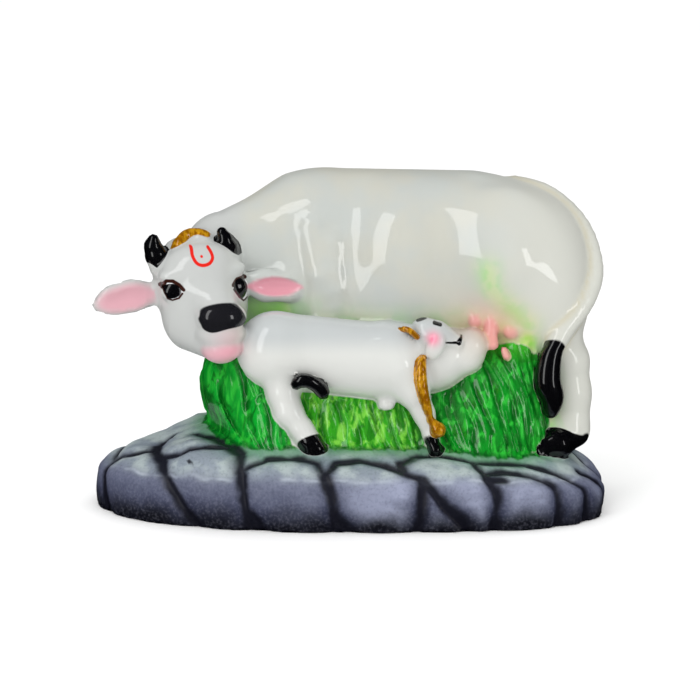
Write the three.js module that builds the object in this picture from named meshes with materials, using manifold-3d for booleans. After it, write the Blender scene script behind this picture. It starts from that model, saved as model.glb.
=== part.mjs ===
// Cow and calf statue, cast in one piece: a cow with its head turned to the front stands over its
// suckling calf, in a clump of grass on a base of fitted stones.
// Millimetres, +Z up. The front faces -Y, the cow's head is at -X, and the origin is the middle of the
// underside.
//
// The form is a solid function: every sub-part gives the signed distance to its own surface, negative
// inside, and soft joins melt the sub-parts together as clay does. The surface where the whole function is
// zero becomes triangles, which are thinned where the form is plain.

import * as THREE from 'three';
import { mergeVertices } from 'three/addons/utils/BufferGeometryUtils.js';
import Module from 'manifold-3d';

// Overall sizes
const WIDTH = 114.3;
const DEPTH = 57.6;
const BACK_HEIGHT = 75.0;

// Stone base
const BASE_RIM_RADIUS = 3.0;
const BASE_RIM_DROP = 3.2;
const BASE_SHOULDER = 10.0;
const BASE_FOOT = 0.3;
const BASE_FOOT_HEIGHT = 5.0;
const BASE_LEAN = 0.8;
const BASE_LEAN_START = 3.0;
const BASE_LEAN_HEIGHT = 9.0;
const JOINT_DEPTH = 0.5;
const JOINT_HALF_WIDTH = 1.15;
const STONE_CROWN = 0.5;
const STONE_CROWN_HALF_WIDTH = 3.2;

// Grass
const BLADE_WIDTH = 3.0;
const BLADE_RISE = 0.32;
const THIN_BLADE_WIDTH = 1.7;
const THIN_BLADE_RISE = 0.19;

// Cow
const BARREL_RADIUS = 18.6;
const BARREL_FLATNESS = 0.8;
const BARREL_Z = BACK_HEIGHT - BARREL_RADIUS - 0.2;
const HEAD_AT = [-32.6, -9.5, 51.8];
const HEAD_YAW = 13;
const HEAD_ROLL = 5;
const TAIL_RADIUS = 2.0;
const TUFT_RADIUS = 2.75;
const TUFT_ROOT_RADIUS = 1.5;

// Calf
const CALF_RADIUS = 8.2;
const CALF_FLATNESS = 0.85;

// Surface
const GRID_STEP = 1.15;
const TRIANGLES = 9200;
const UNDERSIDE_SPARE = 2.0;

// Solid functions

function softMin(a, b, k) {
  const h = Math.max(k - Math.abs(a - b), 0) / k;
  return Math.min(a, b) - (h * h * k) / 4;
}

function join(k, ...forms) {
  return (x, y, z) => {
    let d = forms[0](x, y, z);
    for (let i = 1; i < forms.length; i += 1) {
      d = softMin(d, forms[i](x, y, z), k);
    }
    return d;
  };
}

function hollow(k, form, tool) {
  return (x, y, z) => -softMin(-form(x, y, z), tool(x, y, z), k);
}

function ellipsoid(centre, radii, { yaw = 0, tilt = 0, roll = 0 } = {}) {
  const turn = new THREE.Euler(...[roll, tilt, yaw].map(THREE.MathUtils.degToRad), 'ZYX');
  const back = new THREE.Matrix4().makeRotationFromEuler(turn).transpose().elements;
  const [cx, cy, cz] = centre;
  const [rx, ry, rz] = radii;
  return (x, y, z) => {
    const px = x - cx;
    const py = y - cy;
    const pz = z - cz;
    const ux = (back[0] * px + back[4] * py + back[8] * pz) / rx;
    const uy = (back[1] * px + back[5] * py + back[9] * pz) / ry;
    const uz = (back[2] * px + back[6] * py + back[10] * pz) / rz;
    const near = Math.hypot(ux, uy, uz);
    const slope = Math.hypot(ux / rx, uy / ry, uz / rz) + 1e-9;
    return (near * (near - 1)) / slope;
  };
}

// A cone with round ends; flat below 1 thins it along Y.
function cone(from, to, fromRadius, toRadius, flat = 1) {
  const [ax, ay, az] = [from[0], from[1] / flat, from[2]];
  const [bx, by, bz] = [to[0] - ax, to[1] / flat - ay, to[2] - az];
  const span = bx * bx + by * by + bz * bz;
  return (x, y, z) => {
    const px = x - ax;
    const py = y / flat - ay;
    const pz = z - az;
    const t = Math.min(Math.max((px * bx + py * by + pz * bz) / span, 0), 1);
    const away = Math.hypot(px - t * bx, py - t * by, pz - t * bz);
    return (away - fromRadius - t * (toRadius - fromRadius)) * flat;
  };
}

function limb(points, radii, k = 1, flat = 1) {
  const bones = points.slice(1).map((to, i) => cone(points[i], to, radii[i], radii[i + 1], flat));
  return bones.length === 1 ? bones[0] : join(k, ...bones);
}

// A round rope along a smooth curve, so many bones from point to point; radiusAt gives its radius from
// 0 to 1 along it.
function rope(points, bones, radiusAt, k = 0.5) {
  const through = points.map((p) => new THREE.Vector3(...p));
  const curve = new THREE.CatmullRomCurve3(through, false, 'catmullrom', 0.5);
  const pieces = bones * (points.length - 1);
  const along = curve.getPoints(pieces).map((p) => p.toArray());
  return limb(along, along.map((_, i) => radiusAt(i / pieces)), k);
}

function smooth(t) {
  return THREE.MathUtils.smoothstep(t, 0, 1);
}

function ramp(x, xs, ys) {
  let i = 1;
  while (i < xs.length - 1 && x > xs[i]) {
    i += 1;
  }
  const t = THREE.MathUtils.clamp((x - xs[i - 1]) / (xs[i] - xs[i - 1]), 0, 1);
  return ys[i - 1] + t * (ys[i] - ys[i - 1]);
}

// Stone base: an oval plan, rounder at the cow's head, squarer at its tail

function planDistance(x, y) {
  const n = 2.1 + 1.2 * smooth((x + 20) / 60);
  const ax = Math.abs(x) / (WIDTH / 2) + 1e-6;
  const ay = Math.abs(y) / (DEPTH / 2) + 1e-6;
  const g = (ax ** n + ay ** n) ** (1 / n);
  const slopeX = (ax / g) ** (n - 1) / (WIDTH / 2);
  const slopeY = (ay / g) ** (n - 1) / (DEPTH / 2);
  return (g - 1) / Math.hypot(slopeX, slopeY);
}

// Height of the stone from the cow's head, where it climbs to the grass, to its tail
const TOP_X = [-58, -51, -46.5, -42, -38.5, -35, -30, -20, 0, 25, 40, 50, 58];
const TOP_Z = [13.2, 13.9, 14.1, 14.7, 16.2, 17.6, 17.8, 17.0, 16.0, 15.6, 13.9, 12.1, 10.0];

function stoneBlock(x, y, z) {
  const plan = planDistance(x, y);
  const top = ramp(x, TOP_X, TOP_Z) - BASE_RIM_DROP * (1 - smooth(-plan / BASE_SHOULDER));
  const foot = BASE_FOOT * THREE.MathUtils.clamp(1 - z / BASE_FOOT_HEIGHT, 0, 1) ** 2;
  const lean = BASE_LEAN * THREE.MathUtils.clamp((z - BASE_LEAN_START) / BASE_LEAN_HEIGHT, 0, 1) ** 2;
  const out = plan + foot + lean + BASE_RIM_RADIUS;
  const over = z - top + BASE_RIM_RADIUS;
  const corner = Math.hypot(Math.max(out, 0), Math.max(over, 0));
  return corner + Math.min(Math.max(out, over), 0) - BASE_RIM_RADIUS;
}

const BEARING_STEPS = 120;

function rimPoint(bearing) {
  let near = 0;
  let far = WIDTH;
  for (let i = 0; i < 40; i += 1) {
    const r = (near + far) / 2;
    if (planDistance(r * Math.sin(bearing), -r * Math.cos(bearing)) < 0) {
      near = r;
    } else {
      far = r;
    }
  }
  return new THREE.Vector2(near * Math.sin(bearing), -near * Math.cos(bearing));
}

// Distance along the rim for each bearing, zero at the middle of the front, positive towards +X
function rimArcs() {
  const steps = Array.from({ length: BEARING_STEPS + 1 }, (_, i) => i);
  const bearings = steps.map((i) => Math.PI * ((2 * i) / BEARING_STEPS - 1));
  const points = bearings.map(rimPoint);
  const arcs = [0];
  points.slice(1).forEach((p, i) => arcs.push(arcs[i] + p.distanceTo(points[i])));
  const middle = arcs[BEARING_STEPS / 2];
  return arcs.map((a) => a - middle);
}

const RIM_ARCS = rimArcs();
const PERIMETER = RIM_ARCS[BEARING_STEPS] - RIM_ARCS[0];

function rimArc(x, y) {
  const step = ((Math.atan2(x, -y) / Math.PI + 1) * BEARING_STEPS) / 2;
  const i = Math.min(Math.floor(step), BEARING_STEPS - 1);
  return RIM_ARCS[i] + (step - i) * (RIM_ARCS[i + 1] - RIM_ARCS[i]);
}

// Joints between the stones of the front: distance along the rim, then up the wall and in over the top
const FRONT_JOINTS = [
  [[-60, 0], [-62, 6], [-64, 12], [-64, 17], [-59, 23]],
  [[-33, 0], [-37, 4], [-43, 12], [-49, 18], [-58, 23], [-72, 33]],
  [[-22, 0], [-24, 8], [-25, 14], [-29, 21]],
  [[-23, 5], [-18, 0]],
  [[-3.5, 0], [-4, 8], [-6, 15]],
  [[-4, 5], [0, 1]],
  [[15, 0], [16, 7], [16.5, 14]],
  [[16.5, 13.5], [21, 7], [27, 1]],
  [[32, 0], [33, 9], [32, 13], [36, 13.5]],
  [[47, 0], [47, 11], [44, 15], [39, 17], [34, 16]],
  [[55, 0], [55, 9], [52, 16], [47, 21], [40, 21], [34, 21]],
  [[66, 0], [65, 8], [61, 15]],
  [[-51, 19.5], [-46, 20.5], [-41, 24], [-35, 25], [-30, 22], [-25, 14]],
  [[-62, 37], [-52, 33.5], [-42, 28.5], [-36, 26], [-30, 22]],
  [[-25, 16], [-22, 20.5], [-15, 22], [-9, 20], [-6, 15]],
  [[-6, 15], [-4, 20], [3, 21.5], [9, 19.5], [13, 16], [17, 13.5]],
  [[13, 16], [14, 20], [20, 24], [28, 25], [34, 21], [33, 16], [32, 13]],
];

const BACK_JOINTS = 8;
const BACK_JOINT_START = 73;
const BACK_JOINT_PITCH = 19;

function backJoint(i) {
  const at = BACK_JOINT_START + BACK_JOINT_PITCH * i;
  const lean = 2.5 * Math.sin(2.1 * i);
  return [[at, 0], [at + lean, 7], [at + lean, 13], [at + 7, 19], [at + 17, 15]];
}

const JOINTS = [...FRONT_JOINTS, ...Array.from({ length: BACK_JOINTS }, (_, i) => backJoint(i))];

function jointDistance(x, y, z) {
  const arc = rimArc(x, y);
  const up = z - planDistance(x, y);
  let nearest = Infinity;
  for (const line of JOINTS) {
    for (let i = 1; i < line.length; i += 1) {
      const [a, b] = line[i - 1];
      const da = line[i][0] - a;
      const db = line[i][1] - b;
      const wrapped = arc - a - PERIMETER * Math.round((arc - a) / PERIMETER);
      const t = THREE.MathUtils.clamp((wrapped * da + (up - b) * db) / (da * da + db * db), 0, 1);
      nearest = Math.min(nearest, Math.hypot(wrapped - t * da, up - b - t * db));
    }
  }
  return nearest;
}

function stoneBase(x, y, z) {
  const block = stoneBlock(x, y, z);
  if (Math.abs(block) > 2.5) {
    return block;
  }
  const joint = jointDistance(x, y, z);
  const groove = JOINT_DEPTH * Math.exp(-((joint / JOINT_HALF_WIDTH) ** 2));
  const crown = STONE_CROWN * Math.exp(-((joint / STONE_CROWN_HALF_WIDTH) ** 2));
  return block + groove + crown;
}

// Grass: a clump under the cow, with upright blades in relief

function blades(x, y, z) {
  const u = x + 0.45 * y + 0.1 * (z - 18);
  const turn = 2 * Math.PI;
  const sway = 1.7 * Math.sin(z / 4.6 + x / 6) + Math.sin(z / 1.9 + x / 2.3);
  const broad = Math.sin((turn * u) / BLADE_WIDTH + sway) * (0.6 + 0.4 * Math.sin(z / 2.6 + u));
  const fade = 0.6 + 0.4 * Math.sin(z / 2.1 + 1.7 * u);
  const thin = Math.sin((turn * u) / THIN_BLADE_WIDTH + 1.3 * sway + 1.3) * fade;
  return BLADE_RISE * broad + THIN_BLADE_RISE * thin;
}

function makeGrass() {
  const left = join(5,
    ellipsoid([-20, -2, 28], [13.2, 11.5, 13]),
    ellipsoid([-17, -6, 19], [10, 12.5, 10]));
  const middle = join(4,
    ellipsoid([2, -3, 23], [24, 11.5, 12]),
    ellipsoid([1, -5, 17], [26, 11.5, 8]));
  const right = join(5,
    ellipsoid([29, 0, 23.5], [12.5, 12.5, 13]),
    ellipsoid([29, -6, 17], [14.5, 12, 9]),
    ellipsoid([37, -1.5, 25.5], [6.5, 11.5, 15.5]));
  const back = join(5,
    ellipsoid([-14, 6, 26], [19, 14, 18]),
    ellipsoid([20, 7, 26], [30, 15.5, 18]));
  const clump = join(4, left, middle, right, back);
  return (x, y, z) => clump(x, y, z) - blades(x, y, z);
}

// Cow

function makeCowBody() {
  const withers = [-3.8, 8.6, BARREL_Z - 0.2];
  const loin = [26, 6.2, BARREL_Z - 0.3];
  const barrel = cone(withers, loin, BARREL_RADIUS, BARREL_RADIUS - 0.1, BARREL_FLATNESS);
  const flank = ellipsoid([12, 3, 56], [14.5, 14, 15.5]);
  const rump = ellipsoid([37.6, 5.5, 51.6], [17.4, 14.5, 19.4]);
  const neck = cone([-12, 5, 58], [-27.5, 0, 56.6], 14.8, 9.6, BARREL_FLATNESS);
  const chest = ellipsoid([-17, 4.5, 46], [12.5, 9.5, 15]);
  const shoulder = ellipsoid([-7, 0.5, 49], [8, 8, 16], { tilt: 6 });
  const haunch = ellipsoid([38.6, -2.1, 50.8], [11.8, 8.8, 20.6], { tilt: -20 });
  const hip = ellipsoid([25.5, -2, 59.5], [16.5, 7.5, 10.5], { yaw: -33, tilt: 22 });
  const belly = ellipsoid([12, 3, 46], [26, 12.5, 14]);
  const neckFolds = [
    limb([[-15.5, -2.2, 63], [-13, -4.9, 54], [-13, -3.4, 42]], [1.2, 2, 1.5]),
    limb([[-8.5, -5.2, 63], [-6.6, -7.6, 53], [-7, -6.2, 40]], [1.2, 1.9, 1.5]),
    limb([[-3.6, -6.4, 60], [-3, -7.4, 50], [-3.6, -5.2, 41]], [1, 1.3, 1.2]),
  ];
  const barrelAndBelly = join(4, join(5, barrel, rump, neck, chest), flank, belly);
  const trunk = join(4, join(3, barrelAndBelly, shoulder), hip);
  return join(3.5, join(5, trunk, haunch), ...neckFolds);
}

function makeCowLegs() {
  const nearPath = [[43.8, -1, 40], [48.1, -2.5, 33], [48.7, -3.3, 26], [48.8, -4.4, 18]];
  const near = limb(nearPath, [4.8, 4.8, 4.7, 4.7], 2);
  const ankle = ellipsoid([46.6, -5.6, 18.6], [5.6, 3.8, 3.4]);
  const farHindPath = [[41, 14, 44], [44.6, 16.2, 33], [44.4, 17.2, 24], [44, 17.2, 17]];
  const farHind = limb(farHindPath, [6.4, 4.2, 3.2, 3.2], 2);
  const farForePath = [[-8, 13, 46], [-11, 15.5, 34], [-12, 16.5, 25], [-12.5, 16.5, 17]];
  const farFore = limb(farForePath, [7, 4.2, 2.9, 3], 2);
  return join(2, near, ankle, farHind, farFore);
}

function makeCowHooves() {
  const near = limb([[50.6, -6.4, 17], [45.8, -8.8, 15.5], [39.8, -12, 14]], [2.3, 3.5, 1.7], 1);
  const farHind = ellipsoid([44.2, 18.2, 16.6], [4.4, 3.6, 2.6]);
  const farFore = ellipsoid([-13.4, 17.2, 17.4], [4.2, 3.4, 2.6]);
  return join(0.8, near, farHind, farFore);
}

function makeCowTail() {
  const overRump = [[37, 8, 70.9], [44.6, 7, 68.5], [51.4, 4, 62.1], [54.1, 0, 53.5]];
  const overThigh = [[52, -4.5, 47], [47.3, -8, 41.2], [45.3, -9.4, 38.6]];
  return rope([...overRump, ...overThigh], 4, (t) => TAIL_RADIUS - 0.1 * t, 1);
}

function makeCowTuft() {
  const upper = [[45.6, -9.8, 38.8], [43.9, -10.6, 35], [43.4, -11.4, 30]];
  const swell = TUFT_RADIUS - TUFT_ROOT_RADIUS;
  const radiusAt = (t) => TUFT_ROOT_RADIUS + swell * Math.sin(Math.PI * (0.02 + 0.93 * t));
  return rope([...upper, [44.4, -11.4, 26.5], [44.2, -11, 23.4]], 4, radiusAt);
}

function makeUdder() {
  const teats = [
    cone([27.1, -7.2, 44.8], [27.5, -8.2, 43], 1.25, 1.25),
    cone([31.1, -7.6, 44.3], [31, -9, 41.6], 1.4, 1.4),
    cone([34.4, -7.2, 44], [35.4, -8.8, 40.8], 1.45, 1.45),
    cone([31, -9.4, 40.2], [31.3, -10.3, 38.2], 1.3, 1.3),
    cone([33.8, -10, 36.9], [34.3, -10.6, 35.6], 0.8, 0.8),
  ];
  return join(1.2, ellipsoid([30.5, -2.5, 43.5], [8, 6, 6]), ...teats);
}

// Cow's head, in its own frame: x to the viewer's right, y forward out of the face, z up

function inHeadFrame(form) {
  const yaw = THREE.MathUtils.degToRad(HEAD_YAW);
  const roll = THREE.MathUtils.degToRad(HEAD_ROLL);
  const side = new THREE.Vector3(Math.cos(yaw), Math.sin(yaw), 0);
  const forward = new THREE.Vector3(Math.sin(yaw), -Math.cos(yaw), 0);
  const up = new THREE.Vector3(0, 0, 1);
  const right = side.clone().multiplyScalar(Math.cos(roll)).addScaledVector(up, Math.sin(roll));
  const top = up.clone().multiplyScalar(Math.cos(roll)).addScaledVector(side, -Math.sin(roll));
  const [hx, hy, hz] = HEAD_AT;
  return (x, y, z) => {
    const px = x - hx;
    const py = y - hy;
    const pz = z - hz;
    return form(
      px * right.x + py * right.y + pz * right.z,
      px * forward.x + py * forward.y + pz * forward.z,
      px * top.x + py * top.y + pz * top.z,
    );
  };
}

function makeFace() {
  const skull = ellipsoid([-0.3, 0, 1], [9.6, 7.8, 7.6]);
  const forehead = ellipsoid([-0.6, 2.2, 4.2], [7.6, 4.8, 4.6]);
  const muzzle = cone([0.3, 3.5, -2.6], [1.7, 9.6, -6.8], 6.6, 4.9);
  const jaw = cone([-1.5, 1.5, -8.6], [1.6, 9, -12.2], 6.9, 4.3);
  const leftCheek = ellipsoid([-4.7, 1.5, -5.6], [4.6, 5.6, 6.2]);
  const rightCheek = ellipsoid([5.2, 1, -5.4], [4.4, 5.2, 6.2]);
  const upperLip = ellipsoid([1.8, 9.9, -9.9], [4.9, 4, 2], { tilt: 3 });
  const brows = join(0.5,
    ellipsoid([-6.2, 4.6, 2.6], [3.6, 2, 1.6], { tilt: 14 }),
    ellipsoid([6.2, 4.2, 2.4], [3.2, 2, 1.6], { tilt: -16 }));
  return join(1.5, join(3, skull, forehead, muzzle, jaw, leftCheek, rightCheek), upperLip, brows);
}

function makeFeatures() {
  const leftEye = ellipsoid([-7.3, 4.6, -0.2], [2.6, 2.2, 2.1]);
  const rightEye = ellipsoid([7.2, 4.2, -1.1], [2.3, 2.2, 2.3]);
  const nosePad = ellipsoid([2.3, 11, -5.9], [5.1, 3.5, 3.2], { roll: -18, tilt: 7 });
  const nostril = ellipsoid([-0.8, 10.8, -5.7], [2.5, 2.9, 2.6]);
  const tongue = ellipsoid([1.6, 9.8, -13.2], [4.3, 4, 2.9]);
  return [leftEye, rightEye, join(1.5, nosePad, nostril), tongue];
}

function makeHorns() {
  const left = [[-8.2, -0.2, 5], [-9.2, -0.2, 7.2], [-9.8, 0, 9.4], [-9.6, 0.4, 10.9]];
  const right = [[6.7, 0.2, 4.6], [6.6, 0.3, 6.8], [6.1, 0.4, 8.9], [5.6, 0.5, 10.6]];
  return [limb(left, [2.9, 2.45, 1.9, 1.2], 0.5), limb(right, [2.3, 2.2, 1.75, 1.15], 0.5)];
}

function makeLeftEar() {
  const path = [[-9.5, -1.5, -1.6], [-15.5, -1, -1.2], [-20, -1, -1.7], [-23.3, -1.2, -2.4]];
  const leaf = limb(path, [2.4, 2.9, 2.4, 0.9], 1.5, 0.45);
  return hollow(0.6, leaf, ellipsoid([-16.6, 1, -1.5], [6.2, 1.5, 2.3], { tilt: -5 }));
}

function makeRightEar() {
  const path = [[9.5, 1.2, -0.8], [14, 1.9, -2.1], [19, 2.5, -3], [24.6, 2.3, -3.9]];
  const leaf = limb(path, [2, 3.1, 2.7, 0.9], 1.5, 0.55);
  return hollow(0.4, leaf, ellipsoid([16, 4.3, -2.3], [5.7, 1.9, 2.1], { yaw: 2, tilt: 7 }));
}

function makeCowHead() {
  const face = join(0.8, makeFace(), ...makeFeatures());
  const poll = join(1.5,
    ellipsoid([-3.6, -1.8, 8], [3.4, 3, 2.2]),
    ellipsoid([0.9, -2.2, 8.8], [3.6, 3.2, 2.4]));
  return inHeadFrame(join(1.8, join(1, face, ...makeHorns(), poll), makeLeftEar()));
}

function makeNapeBand() {
  const rise = [[-4.9, 0.8, 7.7], [-4, 0.2, 9.5], [-2.2, -0.8, 10.8]];
  return inHeadFrame(rope([...rise, [0, -1.2, 11], [2, -0.5, 10.2]], 3, () => 1, 0.3));
}

// Calf

function makeCalfBody() {
  const loin = [-15.5, -12.6, 37.4];
  const withers = [6.5, -12.4, 34.9];
  const trunk = cone(loin, withers, CALF_RADIUS, CALF_RADIUS + 0.2, CALF_FLATNESS);
  const rump = ellipsoid([-17, -14.4, 38], [7.6, 6.2, 7.5]);
  const shoulder = ellipsoid([9.5, -14, 34.8], [5.2, 5.4, 8], { tilt: -22 });
  const neck = cone([9.5, -12, 36.6], [16.5, -11.6, 38.6], 6.4, 4.4, CALF_FLATNESS);
  const chest = ellipsoid([19, -9.5, 34.4], [9, 6.4, 6.4], { tilt: -28 });
  return join(2.5, trunk, rump, shoulder, neck, chest);
}

function makeCalfLegs() {
  const thigh = [[-14.6, -14.6, 33], [-14.7, -15.6, 28.6], [-13.4, -16.8, 24.4]];
  const shank = [[-10.5, -17.8, 20.6], [-9.1, -18.2, 18.6]];
  const hind = limb([...thigh, ...shank], [3.8, 3.3, 3, 2.4, 2.4], 1.5);
  const forePath = [[10.8, -15, 33.5], [13.7, -15.6, 28.8], [16.1, -16.2, 24], [17.7, -16.8, 18.8]];
  const fore = limb(forePath, [4.8, 3.3, 2.1, 1.7], 2);
  const elbow = ellipsoid([7.9, -15.5, 25.6], [1.8, 1.6, 1.1]);
  return join(1, hind, fore, elbow);
}

function makeCalfHooves() {
  const hind = join(0.6,
    ellipsoid([-8.6, -18.8, 18.2], [2.8, 2.6, 2], { tilt: 8 }),
    ellipsoid([-7.7, -19.2, 16.8], [2.6, 2.4, 1.9]));
  const fore = cone([17.5, -17.2, 19], [18.7, -18.2, 16.2], 1.35, 1.35);
  return join(0.5, hind, fore);
}

function makeCalfTuft() {
  const root = [[-11.7, -20.4, 31.3], [-10.5, -20.8, 32.3], [-8.6, -20.6, 31.9]];
  return rope([...root, [-6.8, -19.8, 30.6], [-5.8, -19.2, 29.2]], 3, (t) => 1.25 + 0.25 * t);
}

function makeCalfHead() {
  const skull = ellipsoid([18, -13.4, 41], [4.5, 3.6, 3], { tilt: 18 });
  const poll = ellipsoid([16, -13.4, 43.1], [2.1, 2.4, 1.5]);
  const muzzle = cone([19, -13.8, 41], [23.4, -13.5, 39.1], 2.9, 1.8);
  return join(1.2, skull, poll, muzzle);
}

// The soft folds between the calf's mouth and the udder
function makeSucklingFold() {
  return join(2,
    ellipsoid([26.6, -10.2, 37.9], [3.6, 4.2, 3.8]),
    ellipsoid([24.9, -9.8, 34.7], [4.2, 4.4, 3.2]));
}

// Neck band of the calf: a strip down the chest with a bell, and the piece over the nape
function makeCalfBand() {
  const chest = [[15.9, -17, 36.6], [15.4, -18.6, 34.4], [15.6, -19.4, 30.6]];
  const width = (t) => 0.6 + 0.65 * Math.sin(Math.PI * Math.min(1.1 * t, 1)) ** 0.7;
  const strip = rope([...chest, [16.7, -19.4, 26], [17.7, -19, 23]], 3, width, 0.3);
  const nape = rope([[11.2, -15.6, 42.8], [12.9, -16.4, 42.4], [14.6, -16.8, 41]], 3, () => 0.6, 0.3);
  const neckOfBell = cone([17.6, -19, 23], [18.8, -18.9, 21.6], 0.8, 1.2);
  const bell = ellipsoid([19.2, -18.8, 20.8], [1.7, 1.6, 1.7]);
  return join(0.4, strip, nape, neckOfBell, bell);
}

function makeCalf() {
  const body = join(2, makeCalfBody(), makeCalfLegs());
  const limbs = join(1, body, makeCalfHead(), makeSucklingFold(), makeCalfHooves());
  const ear = ellipsoid([18.6, -16.6, 38.9], [1.9, 1.4, 3.1], { tilt: 25 });
  return join(0.6, limbs, ear, makeCalfTuft(), makeCalfBand());
}

function makeStatue() {
  const ground = join(4, stoneBase, makeGrass());
  const cow = join(2.5, makeCowBody(), makeCowLegs(), ground);
  const rear = join(0.8, join(1.5, cow, makeCowTail(), makeUdder()), makeCowHooves(), makeCowTuft());
  const front = join(1, join(2, rear, makeCowHead()), inHeadFrame(makeRightEar()), makeNapeBand());
  const whole = join(1.2, front, makeCalf());
  return (x, y, z) => Math.max(whole(x, y, z), -z - UNDERSIDE_SPARE);
}

// Surface of a solid function: each cell of a grid is cut into six tetrahedra, and the zero surface
// through each is one triangle or two. Cells far from the surface are skipped block by block.

const BLOCK = 4;
const AXIS_ORDERS = [[0, 1, 2], [0, 2, 1], [1, 0, 2], [1, 2, 0], [2, 0, 1], [2, 1, 0]];

class Grid {
  constructor(form, box, step) {
    this.step = step;
    this.low = box.min.toArray();
    this.blocks = box.getSize(new THREE.Vector3()).toArray().map((s) => Math.ceil(s / (step * BLOCK)));
    this.count = this.blocks.map((b) => b * BLOCK + 1);
    this.stride = [1, this.count[0], this.count[0] * this.count[1]];
    this.form = form;
    this.value = new Float32Array(this.count[0] * this.count[1] * this.count[2]).fill(NaN);
  }

  index(i, j, k) {
    return i + j * this.stride[1] + k * this.stride[2];
  }

  place(i, j, k) {
    return [this.low[0] + i * this.step, this.low[1] + j * this.step, this.low[2] + k * this.step];
  }

  sample(i, j, k) {
    const at = this.index(i, j, k);
    if (Number.isNaN(this.value[at])) {
      const v = this.form(...this.place(i, j, k));
      this.value[at] = Math.abs(v) < 1e-3 ? 1e-3 : v;
    }
    return this.value[at];
  }

  blockIsNear(i, j, k) {
    const reach = 1.9 * BLOCK * this.step;
    for (let corner = 0; corner < 8; corner += 1) {
      const di = corner & 1;
      const dj = (corner >> 1) & 1;
      const dk = corner >> 2;
      if (Math.abs(this.sample((i + di) * BLOCK, (j + dj) * BLOCK, (k + dk) * BLOCK)) < reach) {
        return true;
      }
    }
    return false;
  }

  eachNearCell(visit) {
    for (let k = 0; k < this.blocks[2]; k += 1) {
      for (let j = 0; j < this.blocks[1]; j += 1) {
        for (let i = 0; i < this.blocks[0]; i += 1) {
          if (this.blockIsNear(i, j, k)) {
            for (let c = 0; c < BLOCK ** 3; c += 1) {
              visit(
                i * BLOCK + (c % BLOCK),
                j * BLOCK + (Math.floor(c / BLOCK) % BLOCK),
                k * BLOCK + Math.floor(c / BLOCK ** 2),
              );
            }
          }
        }
      }
    }
  }
}

function surfaceOf(form, box, step) {
  const grid = new Grid(form, box, step);
  const points = [];
  const triangles = [];
  const known = new Map();

  function crossing(a, b) {
    const [p, q] = a.at < b.at ? [a, b] : [b, a];
    const key = p.at * 8 + q.code - p.code;
    if (!known.has(key)) {
      const t = THREE.MathUtils.clamp(p.v / (p.v - q.v), 0.03, 0.97);
      known.set(key, points.length);
      points.push(new THREE.Vector3(...p.place).lerp(new THREE.Vector3(...q.place), t));
    }
    return known.get(key);
  }

  function addTriangle(a, b, c, inside, outside) {
    const normal = points[b].clone().sub(points[a]).cross(points[c].clone().sub(points[a]));
    const outward = new THREE.Vector3(...outside.place).sub(new THREE.Vector3(...inside.place));
    triangles.push(normal.dot(outward) > 0 ? [a, b, c] : [a, c, b]);
  }

  function addTetrahedron(corners) {
    const inner = corners.filter((c) => c.v < 0);
    const outer = corners.filter((c) => c.v >= 0);
    if (inner.length === 1 || outer.length === 1) {
      const [tip, rest] = inner.length === 1 ? [inner[0], outer] : [outer[0], inner];
      const [a, b, c] = rest.map((r) => crossing(tip, r));
      addTriangle(a, b, c, inner[0], outer[0]);
    } else if (inner.length === 2) {
      const [a, b] = [crossing(inner[0], outer[0]), crossing(inner[0], outer[1])];
      const [c, d] = [crossing(inner[1], outer[1]), crossing(inner[1], outer[0])];
      addTriangle(a, b, c, inner[0], outer[0]);
      addTriangle(a, c, d, inner[1], outer[1]);
    }
  }

  grid.eachNearCell((i, j, k) => {
    const corners = [];
    let inside = 0;
    for (let code = 0; code < 8; code += 1) {
      const [ci, cj, ck] = [i + (code & 1), j + ((code >> 1) & 1), k + (code >> 2)];
      const v = grid.sample(ci, cj, ck);
      inside += v < 0 ? 1 : 0;
      corners.push({ at: grid.index(ci, cj, ck), v, code, ijk: [ci, cj, ck] });
    }
    if (inside === 0 || inside === 8) {
      return;
    }
    corners.forEach((c) => {
      c.place = grid.place(...c.ijk);
    });
    for (const [first, second] of AXIS_ORDERS) {
      const one = 1 << first;
      const two = one | (1 << second);
      addTetrahedron([corners[0], corners[one], corners[two], corners[7]]);
    }
  });
  return { points, triangles };
}

// The outer skin alone: closed pockets inside the joins are left solid
function largestSkin({ points, triangles }) {
  const leader = points.map((_, i) => i);
  const find = (i) => {
    let at = i;
    while (leader[at] !== at) {
      leader[at] = leader[leader[at]];
      at = leader[at];
    }
    return at;
  };
  triangles.forEach(([a, b, c]) => {
    leader[find(a)] = find(b);
    leader[find(b)] = find(c);
  });
  const size = new Map();
  triangles.forEach(([a]) => size.set(find(a), (size.get(find(a)) || 0) + 1));
  const [biggest] = [...size.entries()].sort((p, q) => q[1] - p[1])[0];
  return { points, triangles: triangles.filter(([a]) => find(a) === biggest) };
}

// Thinning: the edge whose removal bends the surface least goes first. The bend is measured against the
// planes of the triangles that met at its two ends.

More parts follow.
